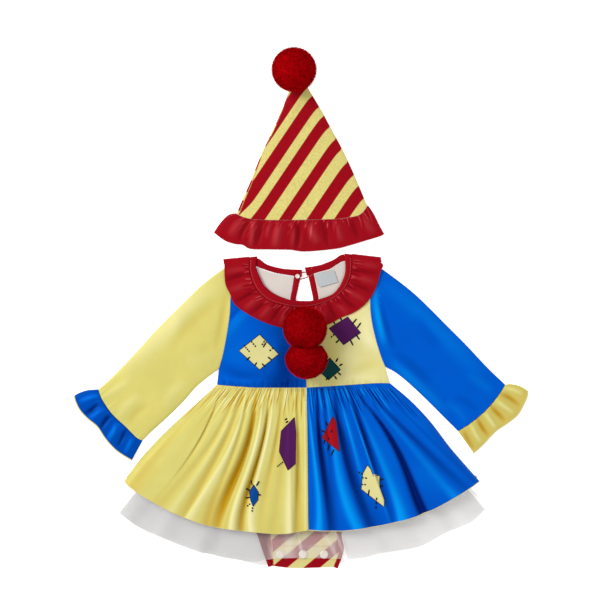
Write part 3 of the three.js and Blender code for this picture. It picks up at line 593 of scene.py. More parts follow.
KEYHOLE_INNER = [
    [-7.5, 147.6], [-11.3, 130.7], [-14, 116], [-12, 102.7], [-2.7, 94.5], [6.5, 102.7], [8.7, 116],
    [6, 130.7], [2.2, 148.6]]
KEYHOLE_OUTER = [
    [-16.5, 147.8], [-19.3, 130.7], [-21.7, 116], [-19, 98.7], [-2.7, 88], [14, 98.7], [16.2, 116],
    [14, 130.7], [9.5, 151.2]]
BACK_NECK = {
    "left": ([[-66, 172], [-60.4, 169], [-52.8, 163.5], [-35.9, 158.7], [-22, 157.1], [-6, 156.5]],
             [[-72, 164], [-67.3, 161], [-55.3, 156.5], [-42, 152.3], [-28.7, 150], [-6, 146.7]]),
    "right": ([[50, 177], [44.5, 175.5], [36.4, 170.1], [25.7, 165.5], [16.4, 162.4], [6, 160.5], [-2.5, 159.5]],
              [[54, 168], [48, 167.5], [40, 163], [31, 157.5], [18, 153.8], [8.7, 151], [0.5, 148]]),
}
SKIRT_CENTRE = [[0, -0.7], [1.3, -57.3], [2, -124], [2.7, -189.3]]
SKIRT_SIDE_LEFT = [
    [-120, 3], [-142, -17.3], [-168.7, -41.3], [-195.3, -66.7], [-222, -96], [-242.7, -124.7]]
SKIRT_SIDE_RIGHT = [
    [111.5, 5], [138, -17.3], [164.7, -45.3], [191.3, -80], [218, -110.7], [230.5, -124.7]]
SKIRT_HEM_LEFT = [
    [-242.7, -124.7], [-235.3, -132], [-222, -141.3], [-208.7, -149.3], [-182, -164], [-155.3, -175.3],
    [-128.7, -184], [-95.3, -189.3], [-55.3, -193.3], [-28.7, -194], [2.7, -189.3]]
SKIRT_HEM_RIGHT = [
    [2.7, -189.3], [44.7, -190.7], [84.7, -186], [111.3, -180.7], [138, -174], [158, -166.7],
    [178, -157.3], [204.7, -142], [218, -133.3], [230.5, -124.7]]
TULLE_FRONT = {
    "end": [[[-259.3, -169.3], [-248.7, -177.3], [-231.3, -189.3], [-215.3, -197.3], [-195.3, -205.3],
             [-182, -211.3], [-168.7, -214], [-155.3, -216]],
            [[-155.3, -216], [-142, -222], [-135.3, -221.3]],
            [[-135.3, -221.3], [-124.7, -222.7], [-108.7, -228], [-88.7, -230], [-70, -233], [-45, -229],
             [0, -227.5], [52.7, -228.7], [95.3, -225.3], [112, -222.7]],
            [[112, -222.7], [115.3, -231.3]],
            [[115.3, -231.3], [138, -224], [151.3, -218.7], [164.7, -212], [174, -206], [184.7, -198],
             [198, -193.3], [218, -188], [227.3, -185.3]],
            [[227.3, -185.3], [225.3, -176.7]], [[225.3, -176.7], [229.3, -173]],
            [[229.3, -173], [246.7, -165.3]]],
    "left": [[-108, -9.5], [-160, -56], [-207, -106], [-229, -134], [-246, -152], [-259.3, -169.3]],
    "right": [[101, -9.5], [150, -58], [196, -108], [219, -134], [236, -150], [246.7, -165.3]],
}
TULLE_BACK = {
    "end": [[[-250, -168], [-222, -188], [-185, -204], [-140, -221], [-88.7, -232], [-62, -238.5], [-50, -238],
             [50, -235], [95, -223], [150, -213], [185, -195], [220, -180], [238, -163]]],
    "left": [[-108, -9.5], [-158, -58], [-203, -108], [-225, -136], [-250, -168]],
    "right": [[101, -9.5], [148, -60], [192, -110], [215, -136], [238, -163]],
}
LEG_LEFT = {
    "inner": [[-106, -131], [-97.5, -159], [-78, -177], [-62, -189], [-53.5, -213], [-45.5, -238.5]],
    "outer": [[-112.7, -130], [-104, -163], [-82, -183], [-68, -193], [-60, -215], [-51.5, -238]],
}
LEG_RIGHT = {
    "inner": [[97, -131], [90, -156], [67, -174], [41, -188], [43.5, -217], [36, -240]],
    "outer": [[103, -130], [96, -160], [72, -180], [48, -193], [50, -218], [42, -239.5]],
}


# ---- Heights of the layers ----

def fan(x, y):
    """Skirt folds fan out from a point above the waist: the slope of the ray through a point."""
    return (x + 4) / (127 - y)


# Troughs of the front skirt, from left to right. Each row: its fan slopes at the four stations,
# from the waist to the hem; its half widths as slopes, to the left and to the right; and its
# depths in mm at the stations.
# skirt_tone also paints shade along these troughs, deeper where they are deeper.
TROUGHS = [
    ((-0.93, -0.90, -0.88, -0.87), (0.04, 0.05), (0.5, 1.0, 1.5, 1.0)),
    ((-0.85, -0.71, -0.70, -0.74), (0.005, 0.026), (2.2, 3.0, 0.4, 0.0)),
    ((-0.70, -0.608, -0.64, -0.66), (0.03, 0.03), (1.8, 1.8, 1.0, 0.6)),
    ((-0.625, -0.527, -0.526, -0.50), (0.03, 0.022), (1.8, 2.4, 2.4, 1.2)),
    ((-0.562, -0.446, -0.43, -0.41), (0.022, 0.014), (1.8, 3.0, 1.8, 2.2)),
    ((-0.488, -0.368, -0.362, -0.36), (0.036, 0.012), (3.4, 8.6, 8.2, 3.6)),
    ((-0.352, -0.274, -0.275, -0.258), (0.017, 0.009), (2.6, 6.4, 6.4, 4.6)),
    ((-0.226, -0.181, -0.188, -0.178), (0.02, 0.018), (2.2, 2.8, 1.4, 0.8)),
    ((-0.13, -0.12, -0.12, -0.13), (0.02, 0.02), (1.6, 0.8, 0.8, 0.8)),
    ((-0.068, -0.040, -0.029, -0.027), (0.013, 0.016), (1.8, 3.6, 4.8, 2.6)),
    ((0.136, 0.105, 0.111, 0.116), (0.012, 0.030), (3.0, 6.8, 6.2, 4.4)),
    ((0.184, 0.170, 0.150, 0.140), (0.015, 0.02), (2.2, 2.8, 1.2, 0.0)),
    ((0.31, 0.26, 0.261, 0.290), (0.020, 0.045), (3.0, 6.6, 5.4, 4.2)),
    ((0.457, 0.418, 0.399, 0.39), (0.008, 0.035), (3.0, 6.0, 3.4, 1.2)),
    ((0.50, 0.594, 0.565, 0.545), (0.024, 0.024), (2.6, 7.0, 8.5, 9.5)),
    ((0.645, 0.745, 0.82, 0.87), (0.03, 0.035), (2.4, 3.4, 2.0, 0.6)),
    ((0.80, 0.86, 0.90, 0.92), (0.02, 0.02), (1.6, 1.2, 1.0, 0.6)),
]
# Crests that stand out between the troughs, given in the same way.
# skirt_tone also paints a highlight along these crests, brighter where they stand higher.
CRESTS = [
    ((-0.66, -0.57, -0.585, -0.59), (0.02, 0.02), (0.5, 0.6, 0.6, 0.4)),
    ((-0.593, -0.475, -0.489, -0.513), (0.012, 0.03), (0.6, 1.0, 1.2, 2.0)),
    ((-0.42, -0.32, -0.317, -0.305), (0.009, 0.018), (0.6, 1.6, 1.6, 2.0)),
    ((-0.31, -0.249, -0.250, -0.222), (0.009, 0.02), (0.6, 1.7, 1.6, 1.6)),
    ((-0.175, -0.10, -0.071, -0.055), (0.02, 0.011), (0.8, 0.6, 1.3, 1.8)),
    ((0.012, 0.014, 0.012, 0.010), (0.006, 0.005), (0.8, 1.0, 1.0, 1.0)),
    ((0.058, 0.060, 0.074, 0.068), (0.016, 0.012), (1.2, 2.2, 2.2, 2.6)),
    ((0.23, 0.20, 0.192, 0.228), (0.02, 0.03), (0.6, 1.1, 1.9, 2.2)),
    ((0.341, 0.327, 0.309, 0.31), (0.013, 0.02), (1.0, 1.8, 0.8, 0.2)),
    ((0.43, 0.400, 0.385, 0.37), (0.008, 0.006), (1.5, 2.3, 1.2, 0.0)),
    ((0.50, 0.467, 0.452, 0.417), (0.02, 0.028), (0.5, 0.8, 1.3, 3.0)),
    ((0.62, 0.685, 0.728, 0.765), (0.03, 0.035), (0.5, 0.6, 0.7, 3.0)),
]
STATIONS = (0.0, 0.33, 0.66, 1.0)


def along(values, below):
    """Runs smoothly through four values from the waist to the hem."""
    fit = np.polyfit(STATIONS, values, 3)
    return np.polyval(fit, np.clip(below, 0, 1.03))


def valleys(slope, below, table):
    total = np.zeros_like(slope)
    for at, (left, right), deep in table:
        off = slope - along(at, below)
        width = np.where(off < 0, left, right) * (0.62 + 0.45 * below)
        total += np.interp(below, STATIONS, deep) * np.exp(-(off / width) ** 2)
    return total


def waist_line(x):
    return -0.7 + np.where(x > 0, 0.051 * x, 3.7 * (x / 120) ** 2)


def waist_gathers(slope, below):
    """Crisp, uneven little pleats of the waist: slits with painted shade and crests with a painted highlight, of any
    length.
    """
    slits = tucked(slope, below, -0.95, 0.93, 56, 5, 0.2, 0.15)
    crests = tucked(slope, below, -0.94, 0.94, 50, 19, 0.17, 0.16)
    return crests * smooth(below * 60), slits * smooth(below * 60)


def side_slope(x, y):
    """The fan slope of the skirt's own side edge at this height."""
    left, right = np.array(SKIRT_SIDE_LEFT), np.array(SKIRT_SIDE_RIGHT)
    return np.where(x < 0, np.interp(-y, -left[:, 1], -fan(left[:, 0], left[:, 1])),
                    np.interp(-y, -right[:, 1], fan(right[:, 0], right[:, 1])))


def skirt_height(x, y, u=None, v=None):
    slope = fan(x, y)
    below = np.clip(-y, 0, None) / 190
    inside = np.clip((side_slope(x, y) + 0.012 - np.abs(slope)) * (127 - y), 0, None)
    roll = np.sqrt(1 - (1 - np.minimum(inside / 28, 1)) ** 2)
    waist = mixf(6.2, 8.8, smooth((waist_line(x) - y) / 7))
    opened = smooth(below * 2.2)
    body = 9.5 * opened - valleys(slope, below, TROUGHS) * mixf(0.5, 0.95, opened)
    body = body + valleys(slope, below, CRESTS)
    body = np.where(body < 0.6, 0.6 * np.exp((body - 0.6) / 3), body)
    crests, slits = waist_gathers(slope, below)
    pleats = gathers(slope, -0.95, 0.93, 44, 5) * 1.2 * smooth(below * 30) * (1 - smooth((below - 0.02) / 0.34))
    wander = noise(x, y, 46, 3) * 0.5 + noise(slope * 300, y * 0.4, 24, 8) * 0.5 * smooth(below * 3)
    return 2.8 + (waist - 2.8) * roll + (body + pleats + crests - 0.8 * slits + wander * smooth(below * 5)) * roll


def skirt_tone(x, y, u=None, v=None):
    slope = fan(x, y)
    below = np.clip(-y, 0, None) / 190
    crests, slits = waist_gathers(slope, below)
    low = valleys(slope, below, TROUGHS)
    # Painted shade along the troughs and the waist slits, a painted highlight along the crests and the waist pleats,
    # and a little uneven tone.
    return (valleys(slope, below, CRESTS) / 2.1 - low / 6.0 + 1.1 * crests - 1.5 * slits
            + 0.12 * noise(slope * 260, y * 0.5, 20, 90) * smooth(below * 4))


BODICE_CREASES = [
    (-112, 60, -88, 92, -66, 108, 7, 1.3),
    (-108, 84, -92, 104, -80, 114, 4, -1.2),
    (-116, 30, -92, 18, -60, 12, 7, -1.2),
    (-112, 12, -84, 8, -50, 9, 4, 1.0),
    (-36, 70, -44, 40, -40, 12, 9, 1.2),
    (96, 96, 80, 110, 66, 118, 4, -1.0),
    (99, 44, 84, 62, 66, 68, 7, 1.2),
    (104, 30, 84, 30, 60, 20, 6, -1.1),
    (98, 12, 72, 12, 46, 14, 5, 1.0),
    (78, 96, 82, 70, 80, 44, 6, 0.9),
]


def bodice_height(x, y, u=None, v=None):
    inside = np.clip(116 - np.abs(x + 4), 0, None) / 20
    side = np.sqrt(1 - (1 - np.minimum(inside, 1)) ** 2)
    armhole = smooth((y - 18) / 20)
    shoulder = smooth((y - 140) / 28)
    low = mixf(mixf(1.6, 5.0, side), 5.0, armhole)
    base = mixf(low, 3.2, shoulder * 0.9) + 1.2
    tucks = gathers(x, -116, 108, 30, 12) * 0.8 * (1 - smooth((y - 3) / 14))
    seam = -0.7 * np.exp(-(x / 1.3) ** 2)
    rise = creases(x, y, BODICE_CREASES) + 0.5 * noise(x, y, 32, 21) + tucks
    return base + np.clip(rise, -0.4, 1.1) * (1 - shoulder) * side + seam * (y < 106)


# Painted shade beside the pompoms, on either side of the centre seam.
POM_SHADE_BLUE = [(-24, 84, -30, 36, -34, -30, 24, 1)]
POM_SHADE_YELLOW = [(20, 112, 34, 70, 32, 30, 18, -4, 13, 1)]


def bodice_tone(x, y, u=None, v=None):
    tucks = tucked(x, np.clip(y, 0, None) / 100, -118, 110, 40, 91, 0.12, 0.3)
    # Painted shade and highlight along the creases, painted shade in the waist tucks and beside the pompoms, a
    # painted highlight over the whole yellow half, and an uneven tone.
    return (0.22 * creases(x, y, BODICE_CREASES) + 0.2 * noise(x, y, 44, 62) - 0.4 * tucks + 0.55 * smooth(x / 6)
            - 0.75 * creases(x, y, POM_SHADE_BLUE) * (x < 0) - 0.5 * creases(x, y, POM_SHADE_YELLOW) * (x > 0))


def back_height(x, y, u=None, v=None):
    return 1.2 + 1.6 * smooth((y - 78) / 20) + 0.25 * noise(x, y, 22, 17) * smooth((y - 70) / 20) + 0.2


def tulle_folds(x, y):
    slope = fan(x, y)
    free = smooth((-118 - y) / 40)
    return (gathers(slope, -0.92, 0.9, 26, 31, 0.5) * 2.6 + noise(slope * 160, y * 0.5, 18, 4) * 1.0) * free


def tulle_front_height(x, y):
    """Over the snaps it lies higher, with flatter folds; under the skirt its folds are pressed."""
    inside = smooth(np.clip((0.90 - np.abs(fan(x, y))) * (127 - y), 0, None) / 18)
    off_centre = np.abs(x + 4)
    snaps = 1.8 * smooth((-202 - y) / 10) * smooth((72 - off_centre) / 18)
    flatter = 1 - 0.7 * smooth((60 - off_centre) / 20) * smooth((-196 - y) / 12)
    pressed = np.where(y < -185, 1.0, 0.15)
    return mixf(3.4, 6.6, inside) + snaps + tulle_folds(x, y) * mixf(0.5, 1, inside) * flatter * pressed


# Where the front tulle doubles over itself below the skirt's hem: the points, the half width and
# how much whiter it is there.
TULLE_DOUBLES = [
    (-24, -180, -23, -208, -22, -236, 7, 0.5), (-14, -182, -8, -212, -2, -238, 2.0, 0.7),
    (16, -184, 30, -206, 44, -234, 2.6, 0.6), (34, -182, 44, -206, 54, -236, 2.4, 0.8),
    (28, -184, 38, -202, 48, -236, 6, 0.3), (-6, -224, 10, -216, 26, -222, 7, 0.2),
    (-44, -214, -30, -224, -14, -226, 7, 0.2), (-62, -186, -50, -212, -42, -238, 1.8, 0.6)]


def tulle_tone(x, y):
    slope = fan(x, y)
    left, right = smooth((-47 - x) / 6), smooth((x - 37) / 5)
    streaks = noise(slope * 420, y * 0.3, 26, 12)
    # Painted shade greys the wings beside the brief, the left one more than the right; the doubles are whiter.
    return (creases(x, y, TULLE_DOUBLES) * (1 - left) - (0.58 + 0.08 * streaks) * left
            - (0.44 + 0.08 * streaks) * right)


def tulle_back_height(x, y):
    slope = fan(x, y)
    folds = gathers(slope, -0.95, 0.94, 22, 77, 0.5) * 1.6 * smooth((-196 - y) / 14)
    return 2.0 - 1.5 * smooth((-206 - y) / 14) + folds * smooth((np.abs(x + 4) - 58) / 14)


def brief_back_low(x, y):
    return 3.0 - 1.5 * smooth((-216 - y) / 22)


def brief_height(x, y, u=None, v=None):
    return brief_back_low(x, y) + 2.4 + 0.3 * noise(x, y, 14, 9) * smooth((-186 - y) / 10)


def brief_back_height(x, y, u=None, v=None):
    return brief_back_low(x, y) + 0.9


# ---- Hat ----

HAT_SEAM = [
    [-86, 9.3], [-76, 4], [-64, 1.3], [-46.7, 0], [0, 0], [48, 1.3], [64, 3.3], [80, 7.3], [90.7, 20]]
CONE_LEFT = [
    [-10.7, 181.3], [-14.7, 172], [-30.7, 133.3], [-52, 89.3], [-66.7, 53.3], [-78.7, 26.7], [-86, 9.3]]
CONE_RIGHT = [
    [8.7, 181.3], [13.3, 172], [28, 148], [42.7, 121.3], [57.3, 94.7], [70.7, 66.7], [84, 36], [90.7, 20]]
# Where the edges of the printed stripes meet the line of the base seam, from the left: they lean
# at 56 degrees, and bend flatter where the cloth turns over the right fold.
STRIPES = [-127, -111, -98, -79, -65, -47, -28.3, -11, 8.2, 28.5, 44.5, 63.7, 77]


def cone_stripe(x, y):
    """Counts stripe edges from the left."""
    from_fold = np.abs((x - 8.7) * -161.3 - (y - 181.3) * 82) / math.hypot(161.3, 82)
    corner = np.exp(-((x + 84) ** 2 + (y - 6) ** 2) / 18**2)
    foot = x - y / math.tan(math.radians(56)) - 2.8 * np.exp(-from_fold / 6) + 6 * corner
    edges = np.r_[-127 - 17 * np.arange(30, 0, -1), STRIPES, 77 + 17 * np.arange(1, 30)]
    return np.interp(foot, edges, np.arange(len(edges)) + 1.5)


def hat_stripe(x, y, angle):
    """The back continues round the right fold; the cone's own seam is at the left fold."""
    way = np.array([90.7 - 8.7, 20 - 181.3])
    way = way / np.linalg.norm(way)
    dx, dy = x - 8.7, y - 181.3
    near = dx * way[0] + dy * way[1]
    mx, my = 2 * (8.7 + near * way[0]) - x, 2 * (181.3 + near * way[1]) - y
    behind = (np.sin(angle) < 0) | (angle < 0.27)
    return np.where(behind, cone_stripe(mx, my), cone_stripe(x, y))


CONE_FOLDS = [
    (-60, 60, -20, 90, 20, 120, 9, 0.8), (60, 30, 30, 60, 10, 100, 12, 0.7),
    (-70, 12, -40, 22, -10, 24, 7, -0.7), (-14, 165, -8, 150, -16, 130, 5, 0.9),
    (10, 8, 16, 30, 10, 54, 8, -0.7), (72, 20, 50, 26, 30, 18, 6, 0.8),
]
RUFFLE_FOLDS = [
    (-60, 2, -63, -18, -66, -38, 3.2, 3.0), (-50, 1, -54, -16, -58, -36, 3.5, -2.8),
    (-38, 1, -42, -14, -44, -26, 2.4, 2.4), (-24, 1, -30, -18, -33, -38, 4.5, 3.6),
    (-5, 1, -2, -16, -4, -40, 3.0, -3.4), (-10, 0, -8, -18, -11, -38, 3.0, 2.2),
    (8, 0, 14, -12, 24, -32, 5.0, 3.4), (28, 1, 33, -14, 38, -36, 3.0, -2.6),
    (46, 2, 50, -12, 56, -30, 4.0, 2.8), (64, 4, 70, -8, 80, -26, 4.0, -2.2),
    (80, 8, 88, -4, 100, -18, 5.0, 2.0), (-74, 5, -84, -8, -94, -22, 5.0, 2.4),
    (-66, 3, -76, -14, -80, -30, 3.0, -2.2),
]


def hat_cone():
    plan = spanned(Edge([[-10.7, 181.3], [8.7, 181.3]]), Edge(HAT_SEAM), Edge(CONE_LEFT), Edge(CONE_RIGHT))

    def lift(x, y, u, v):
        narrow = 1 - smooth(v * 3)
        return creases(x, y, CONE_FOLDS) + 0.5 * noise(x, y, 30, 41) - 1.6 * narrow
    cloth = tube("hat_cone", plan, (132, 110), 6.2, ["hat", "cream"], lift,
                 stripe=hat_stripe, place=HAT)


def hat_ruffle():
    plan = spanned(
        Edge(HAT_SEAM),
        Edge([[-115.3, -16.7], [-101.3, -27.3], [-88, -32], [-76, -33.5], [-66.7, -38.7], [-40, -39.5],
              [-13.3, -40], [6.7, -42.3], [46.7, -38.7], [66.7, -34], [89, -27.3], [106.7, -22],
              [112.7, -18.7]]),
        Edge([[-86, 9.3], [-96, 6.7], [-106.7, -4], [-115.3, -16.7]]),
        Edge([[90.7, 20], [98.7, 8], [106.7, -8], [112.7, -18.7]]))

    def lift(x, y, u, v):
        pleats = gathers(u, 0, 1, 34, 23) * 1.2 * (1 - smooth(v * 1.7)) * smooth(v * 14)
        waves = gathers(u + 0.02 * v, 0, 1, 12, 51, 0.5) * smooth(v)
        rise = (creases(x, y, RUFFLE_FOLDS) * 0.9 + waves) * smooth(v * 2 + 0.15)
        return np.maximum(rise, -1.0) + pleats + tucked(u, v, 0, 1, 26, 35, 0.6, 0.06) * 0.5

    def tone(x, y, u, v):
        rise = creases(x, y, RUFFLE_FOLDS)
        glints = tucked(u, v, 0, 1, 24, 35, 0.6, 0.045)
        slits = tucked(u, v, 0, 1, 30, 36, 0.6, 0.12)
        # Painted highlights on the little crests from the seam and on the risen folds; painted shade in the slits
        # and the folds' hollows.
        return glints * 0.9 + 0.07 * rise - 0.12 * np.clip(-rise, 0, None) - 0.35 * slits
    cloth = tube("hat_ruffle", plan, (380, 36), 6.2, ["red", "cream"], lift, tone, place=HAT)


# ---- Bodice and neck ----

def bodice():
    side_left, side_right = [[-120, 3], [-117.5, 23.6]], [[111.5, 5], [105.3, 26.7]]
    centre = [[0, -0.7], [0, 107]]
    parts = {
        "bodice_front_blue": (spanned(
            Edge(WAIST_LEFT), Edge([[-97.5, 163], [-76, 172]]), Edge(side_left, ARMHOLE_LEFT),
            Edge(centre, NECK_OUTER_LEFT)), bodice_height, ["blue", "cream"], (80, 100)),
        "bodice_front_yellow": (spanned(
            Edge(WAIST_RIGHT), Edge([[60, 176], [87.5, 165]]), Edge(centre, NECK_OUTER_RIGHT),
            Edge(side_right, ARMHOLE_RIGHT)), bodice_height, ["yellow", "cream"], (80, 100)),
        "bodice_back_blue": (spanned(
            Edge(WAIST_LEFT),
            Edge([[-97.5, 163], [-75, 164]],
                 [[-75, 164], [-67.8, 160], [-55.6, 155.5], [-42.2, 151.3], [-28.9, 149], [-18, 147.5]]),
            Edge(side_left, ARMHOLE_LEFT),
            Edge([[0, -0.7], [0, 86]],
                 [[0, 86], [-13, 88.6], [-20.6, 98.5], [-22.9, 116], [-20.6, 130.7], [-17.8, 143],
                  [-18, 147.5]])), back_height, ["cream", "blue"], (40, 50)),
        "bodice_back_yellow": (spanned(
            Edge(WAIST_RIGHT),
            Edge([[11.5, 150.5], [18.2, 152.8], [31.4, 156.5], [40.4, 162], [48, 166], [57, 168]],
                 [[57, 168], [87.5, 165]]),
            Edge([[0, -0.7], [0, 86]],
                 [[0, 86], [8, 88.6], [15.6, 98.5], [17.4, 116], [15.2, 130.7], [11, 144.5], [11.5, 150.5]]),
            Edge(side_right, ARMHOLE_RIGHT)), back_height, ["cream", "yellow"], (40, 50)),
    }
    for name, (plan, height, stuff, size) in parts.items():
        slot = "blue_cloth" if "blue" in name else "yellow_cloth"
        cloth = panel(name, plan, height, 1.0, size, stuff,
                      tone=bodice_tone if "front" in name else None)
        below = ["bodice_back_blue", "bodice_back_yellow"] if "front" in name else ["floor"]


def band(name, first, second, low, thickness, columns=80, rows=8):
    """A narrow binding, rounded across, between its two long edges."""
    def height(x, y, u, v):
        return low + thickness * (0.62 + 0.38 * np.sin(np.pi * np.clip(v, 0, 1)) ** 0.5)
    plan = ruled(Edge(first), Edge(second))
    u, v = grid(columns, rows)
    xy = plan(u, v)
    top = np.dstack([xy, height(xy[..., 0], xy[..., 1], u, v)])
    under = np.dstack([xy, np.full(u.shape, float(low))])
    return shell(name, top, under, "red", sharp=50)


def neck():
    gap = 0.7  # between the binding's outer edge and the bodice's
    outer = [[x + (-gap if x < 0 else gap), y - gap]
             for x, y in NECK_OUTER_LEFT[::-1] + NECK_OUTER_RIGHT[1:]]
    bands = [
        (band("neck_binding_front", NECK_INNER, outer, 4.2, 3.6, 150, 10), (0.285, 0.010)),
        (band("neck_binding_back_left", *BACK_NECK["left"], 1.9, 2.2), (0.066, 0.0105)),
        (band("neck_binding_back_right", *BACK_NECK["right"], 1.9, 2.2), (0.062, 0.0105)),
        (band("keyhole_binding", KEYHOLE_INNER, KEYHOLE_OUTER, 1.2, 2.8, 90), (0.125, 0.0105)),
    ]
    inside, outside = Edge(NECK_INNER), Edge(outer)

    def stitched(t):
        return mixf(inside(t), outside(t), 0.76)
    t = np.linspace(0.02, 0.98, 70)
    rows = [(*stitched(a), *stitched(a + (b - a) * 0.65), 1) for a, b in zip(t[:-1], t[1:])]
    bars("topstitch_neck", rows, level(7.32), "stitch", width=0.7)


def size_label():
    plan = ruled(Edge([[11, 150.2], [36.7, 155.6]]), Edge([[18, 133.3], [42, 140]]))
    cloth = panel("size_label", plan, lambda x, y, u, v: 4.0 + 0.5 * np.sin(2.6 * u + 0.6) + 0.25 * v, 0.3,
                  (20, 14), "label")


def lathe(name, x, y, low, profile, stuff):
    """A small turned piece. Each row of its profile: a radius and a height above low."""
    sides = 40
    turns = np.arange(sides) / sides * 2 * math.pi
    points = [(x + r * math.cos(a), y + r * math.sin(a), low + z) for r, z in profile for a in turns]
    faces = quads(len(profile), sides, ring=True).tolist()
    faces += [list(range(sides))[::-1], list(range(len(points) - sides, len(points)))]
    return piece(name, points, faces, stuff, sharp=45)


def closure():
    lathe("back_button", -12, 147.6, 3.6,
          [(2.4, 0), (3.0, 0.5), (3.05, 1.1), (2.8, 1.55), (2.3, 1.75), (1.7, 1.55), (1.2, 1.3), (0.02, 1.28)],
          "pearl")
    route = [[2, 153.5], [-4, 152.8]]
    for degrees in range(80, 281, 40):
        a = math.radians(degrees)
        route.append([-12 + 4.2 * math.cos(a), 147.6 + 4.2 * math.sin(a)])
    route += [[-4, 144.6], [2, 147]]
    line = run_points(route, 8)
    thread("button_loop", np.column_stack([line, np.full(len(line), 4.6)]), 0.7, "red")
    # The two ends of the back binding, folded over and bar-tacked beside the closure.
    for name, rows in {"tack_left": [(-14.5, 143.0, -11.0, 145.0, 1), (-9.2, 148.4, -7.6, 151.6, 1)],
                       "tack_right": [(0.8, 146.6, 7.6, 148.8, 1), (5.4, 157.6, 8.0, 158.8, 1)]}.items():
        bars(name, rows, level(3.8), "stitch", width=0.7)


# ---- Collar ----

# Stations round the neck: where the strip is sewn, where it ends, and its bend over the
# shoulder, from -90 under the back to 90 on the front.
COLLAR = [
    (-29, 147, -31, 107, -90), (-46, 149, -62, 111, -90), (-62, 156, -88, 131, -90),
    (-74, 166, -94, 161.5, -90), (-76, 170.2, -110.4, 167, -60), (-76, 170.2, -110.4, 167, -20),
    (-76, 170.2, -110.4, 167, 20), (-76, 170.2, -110.4, 167, 60), (-76, 166, -110.4, 163, 90),
    (-75.9, 155.5, -109, 152, 90), (-71.3, 138.7, -106.2, 133.5, 90), (-63.6, 126.3, -100.3, 119.2, 90),
    (-54.3, 117.7, -87, 102.2, 90), (-40.4, 111.6, -66.6, 92, 90), (-27, 108.8, -46, 82.6, 90),
    (-14.3, 106.7, -26, 77, 90), (1.1, 107.1, -2, 76, 90), (16.4, 110.1, 20.7, 80.5, 90),
    (31.9, 116.3, 42, 90.4, 90), (44.1, 124.7, 63.2, 99, 90), (53.3, 135.5, 82, 116, 90),
    (58.8, 149.3, 95, 139, 90), (60.3, 163.2, 100.6, 158, 90), (60, 170, 100.2, 166, 90),
    (60, 174, 98.7, 169.6, 60), (60, 174, 98.7, 169.6, 20), (60, 174, 98.7, 169.6, -20),
    (60, 174, 98.7, 169.6, -60), (58, 169, 83.5, 164.5, -90), (43, 160, 74, 132, -90),
    (31, 154.5, 48, 113, -90), (19, 151, 20, 107, -90),
]
# Folds of the collar's front, from the seam outwards.
COLLAR_FOLDS = [
    (-76, 152, -92, 148, -108, 142, 3.2, -2.2), (-75, 158, -92, 156, -109, 152, 4.0, 1.8),
    (-70, 138, -86, 134, -105, 128, 4.2, 2.4), (-66, 131, -80, 122, -96, 112, 3.0, -2.2),
    (-60, 124, -72, 112, -84, 103, 3.6, 2.4), (-52, 117, -64, 106, -76, 97, 2.8, -2.0),
    (-44, 113, -54, 100, -64, 91, 3.6, 2.2), (-36, 110, -42, 96, -50, 86, 3.0, -2.0),
    (-26, 108, -30, 94, -36, 82, 3.4, 2.0), (18, 110, 22, 96, 25, 82, 3.4, 2.0),
    (28, 114, 34, 100, 42, 90, 3.0, -2.0), (36, 118, 46, 106, 56, 96, 3.6, 2.2),
    (44, 124, 56, 112, 68, 104, 3.0, -2.0), (50, 131, 66, 122, 80, 114, 3.8, 2.2),
    (55, 139, 72, 134, 88, 126, 3.0, -1.8), (58, 148, 76, 144, 94, 138, 4.2, 2.2),
    (60, 157, 80, 154, 98, 151, 3.0, -1.6), (60, 165, 80, 163, 99, 160, 4.0, 1.6),
]


def collar():
    table = np.array(COLLAR, float)
    samples, rows = 860, 28
    s = np.linspace(0, len(table) - 1, samples)
    smoothed = run_points(table[:, :2], 16), run_points(table[:, 2:4], 16)
    at = np.linspace(0, len(table) - 1, len(smoothed[0]))
    inner = np.stack([np.interp(s, at, smoothed[0][:, i]) for i in (0, 1)], -1)
    outer = np.stack([np.interp(s, at, smoothed[1][:, i]) for i in (0, 1)], -1)
    turn = np.radians(np.interp(s, np.arange(len(table)), table[:, 4]))[None]
    v = np.linspace(0.015, 1, rows + 1)[:, None]
    front = smooth((turn / (math.pi / 2) - 0.93) / 0.07)
    edge_wave = 1.0 * np.sin(s * 2.9 + 1.3 * np.sin(s * 1.1)) * front
    out = v + edge_wave * v**2 / 36
    x = inner[None, :, 0] + (outer - inner)[None, :, 0] * out
    y = inner[None, :, 1] + (outer - inner)[None, :, 1] * out
    pleats = gathers(s, 0, len(table) - 1, 88, 61, 0.36)[None] * 1.0 * np.exp(-((v - 0.12) / 0.2) ** 2)
    waves = gathers(s, 0, len(table) - 1, 30, 15, 0.45)[None] * 0.6 * smooth(v * 1.3)
    lines = tucked(s[None], v - 0.05, 0, len(table) - 1, 70, 29, 0.26, 0.06) * (v > 0.03) * front
    folds = creases(x, y, COLLAR_FOLDS)
    rise = (folds * 0.55 * smooth(v * 2 + 0.2) + pleats + waves) * front
    lift = np.maximum(rise, -0.3) + 0.4 * lines
    # Painted highlights along the pale gather lines and the risen folds; painted shade in the folds' hollows and the
    # dark tucks by the seam.
    tone = (lines * 1.1 + (0.06 * folds - 0.22 * np.clip(-folds, 0, None)) * front
            - 0.6 * tucked(s[None], v, 0, len(table) - 1, 64, 30, 0.4, 0.14) * front)

    def surface(offset, add):
        radius = 3.3 + offset
        return np.dstack([x, y + radius * np.cos(turn) * np.ones_like(v),
                          3.9 + radius * np.sin(turn) * np.ones_like(v) + add])
    cloth = shell("collar_ruffle", surface(0.5, lift), surface(-0.4, lift * 0.97), "red",
                  tone=tone)


# ---- Sleeves and cuffs ----

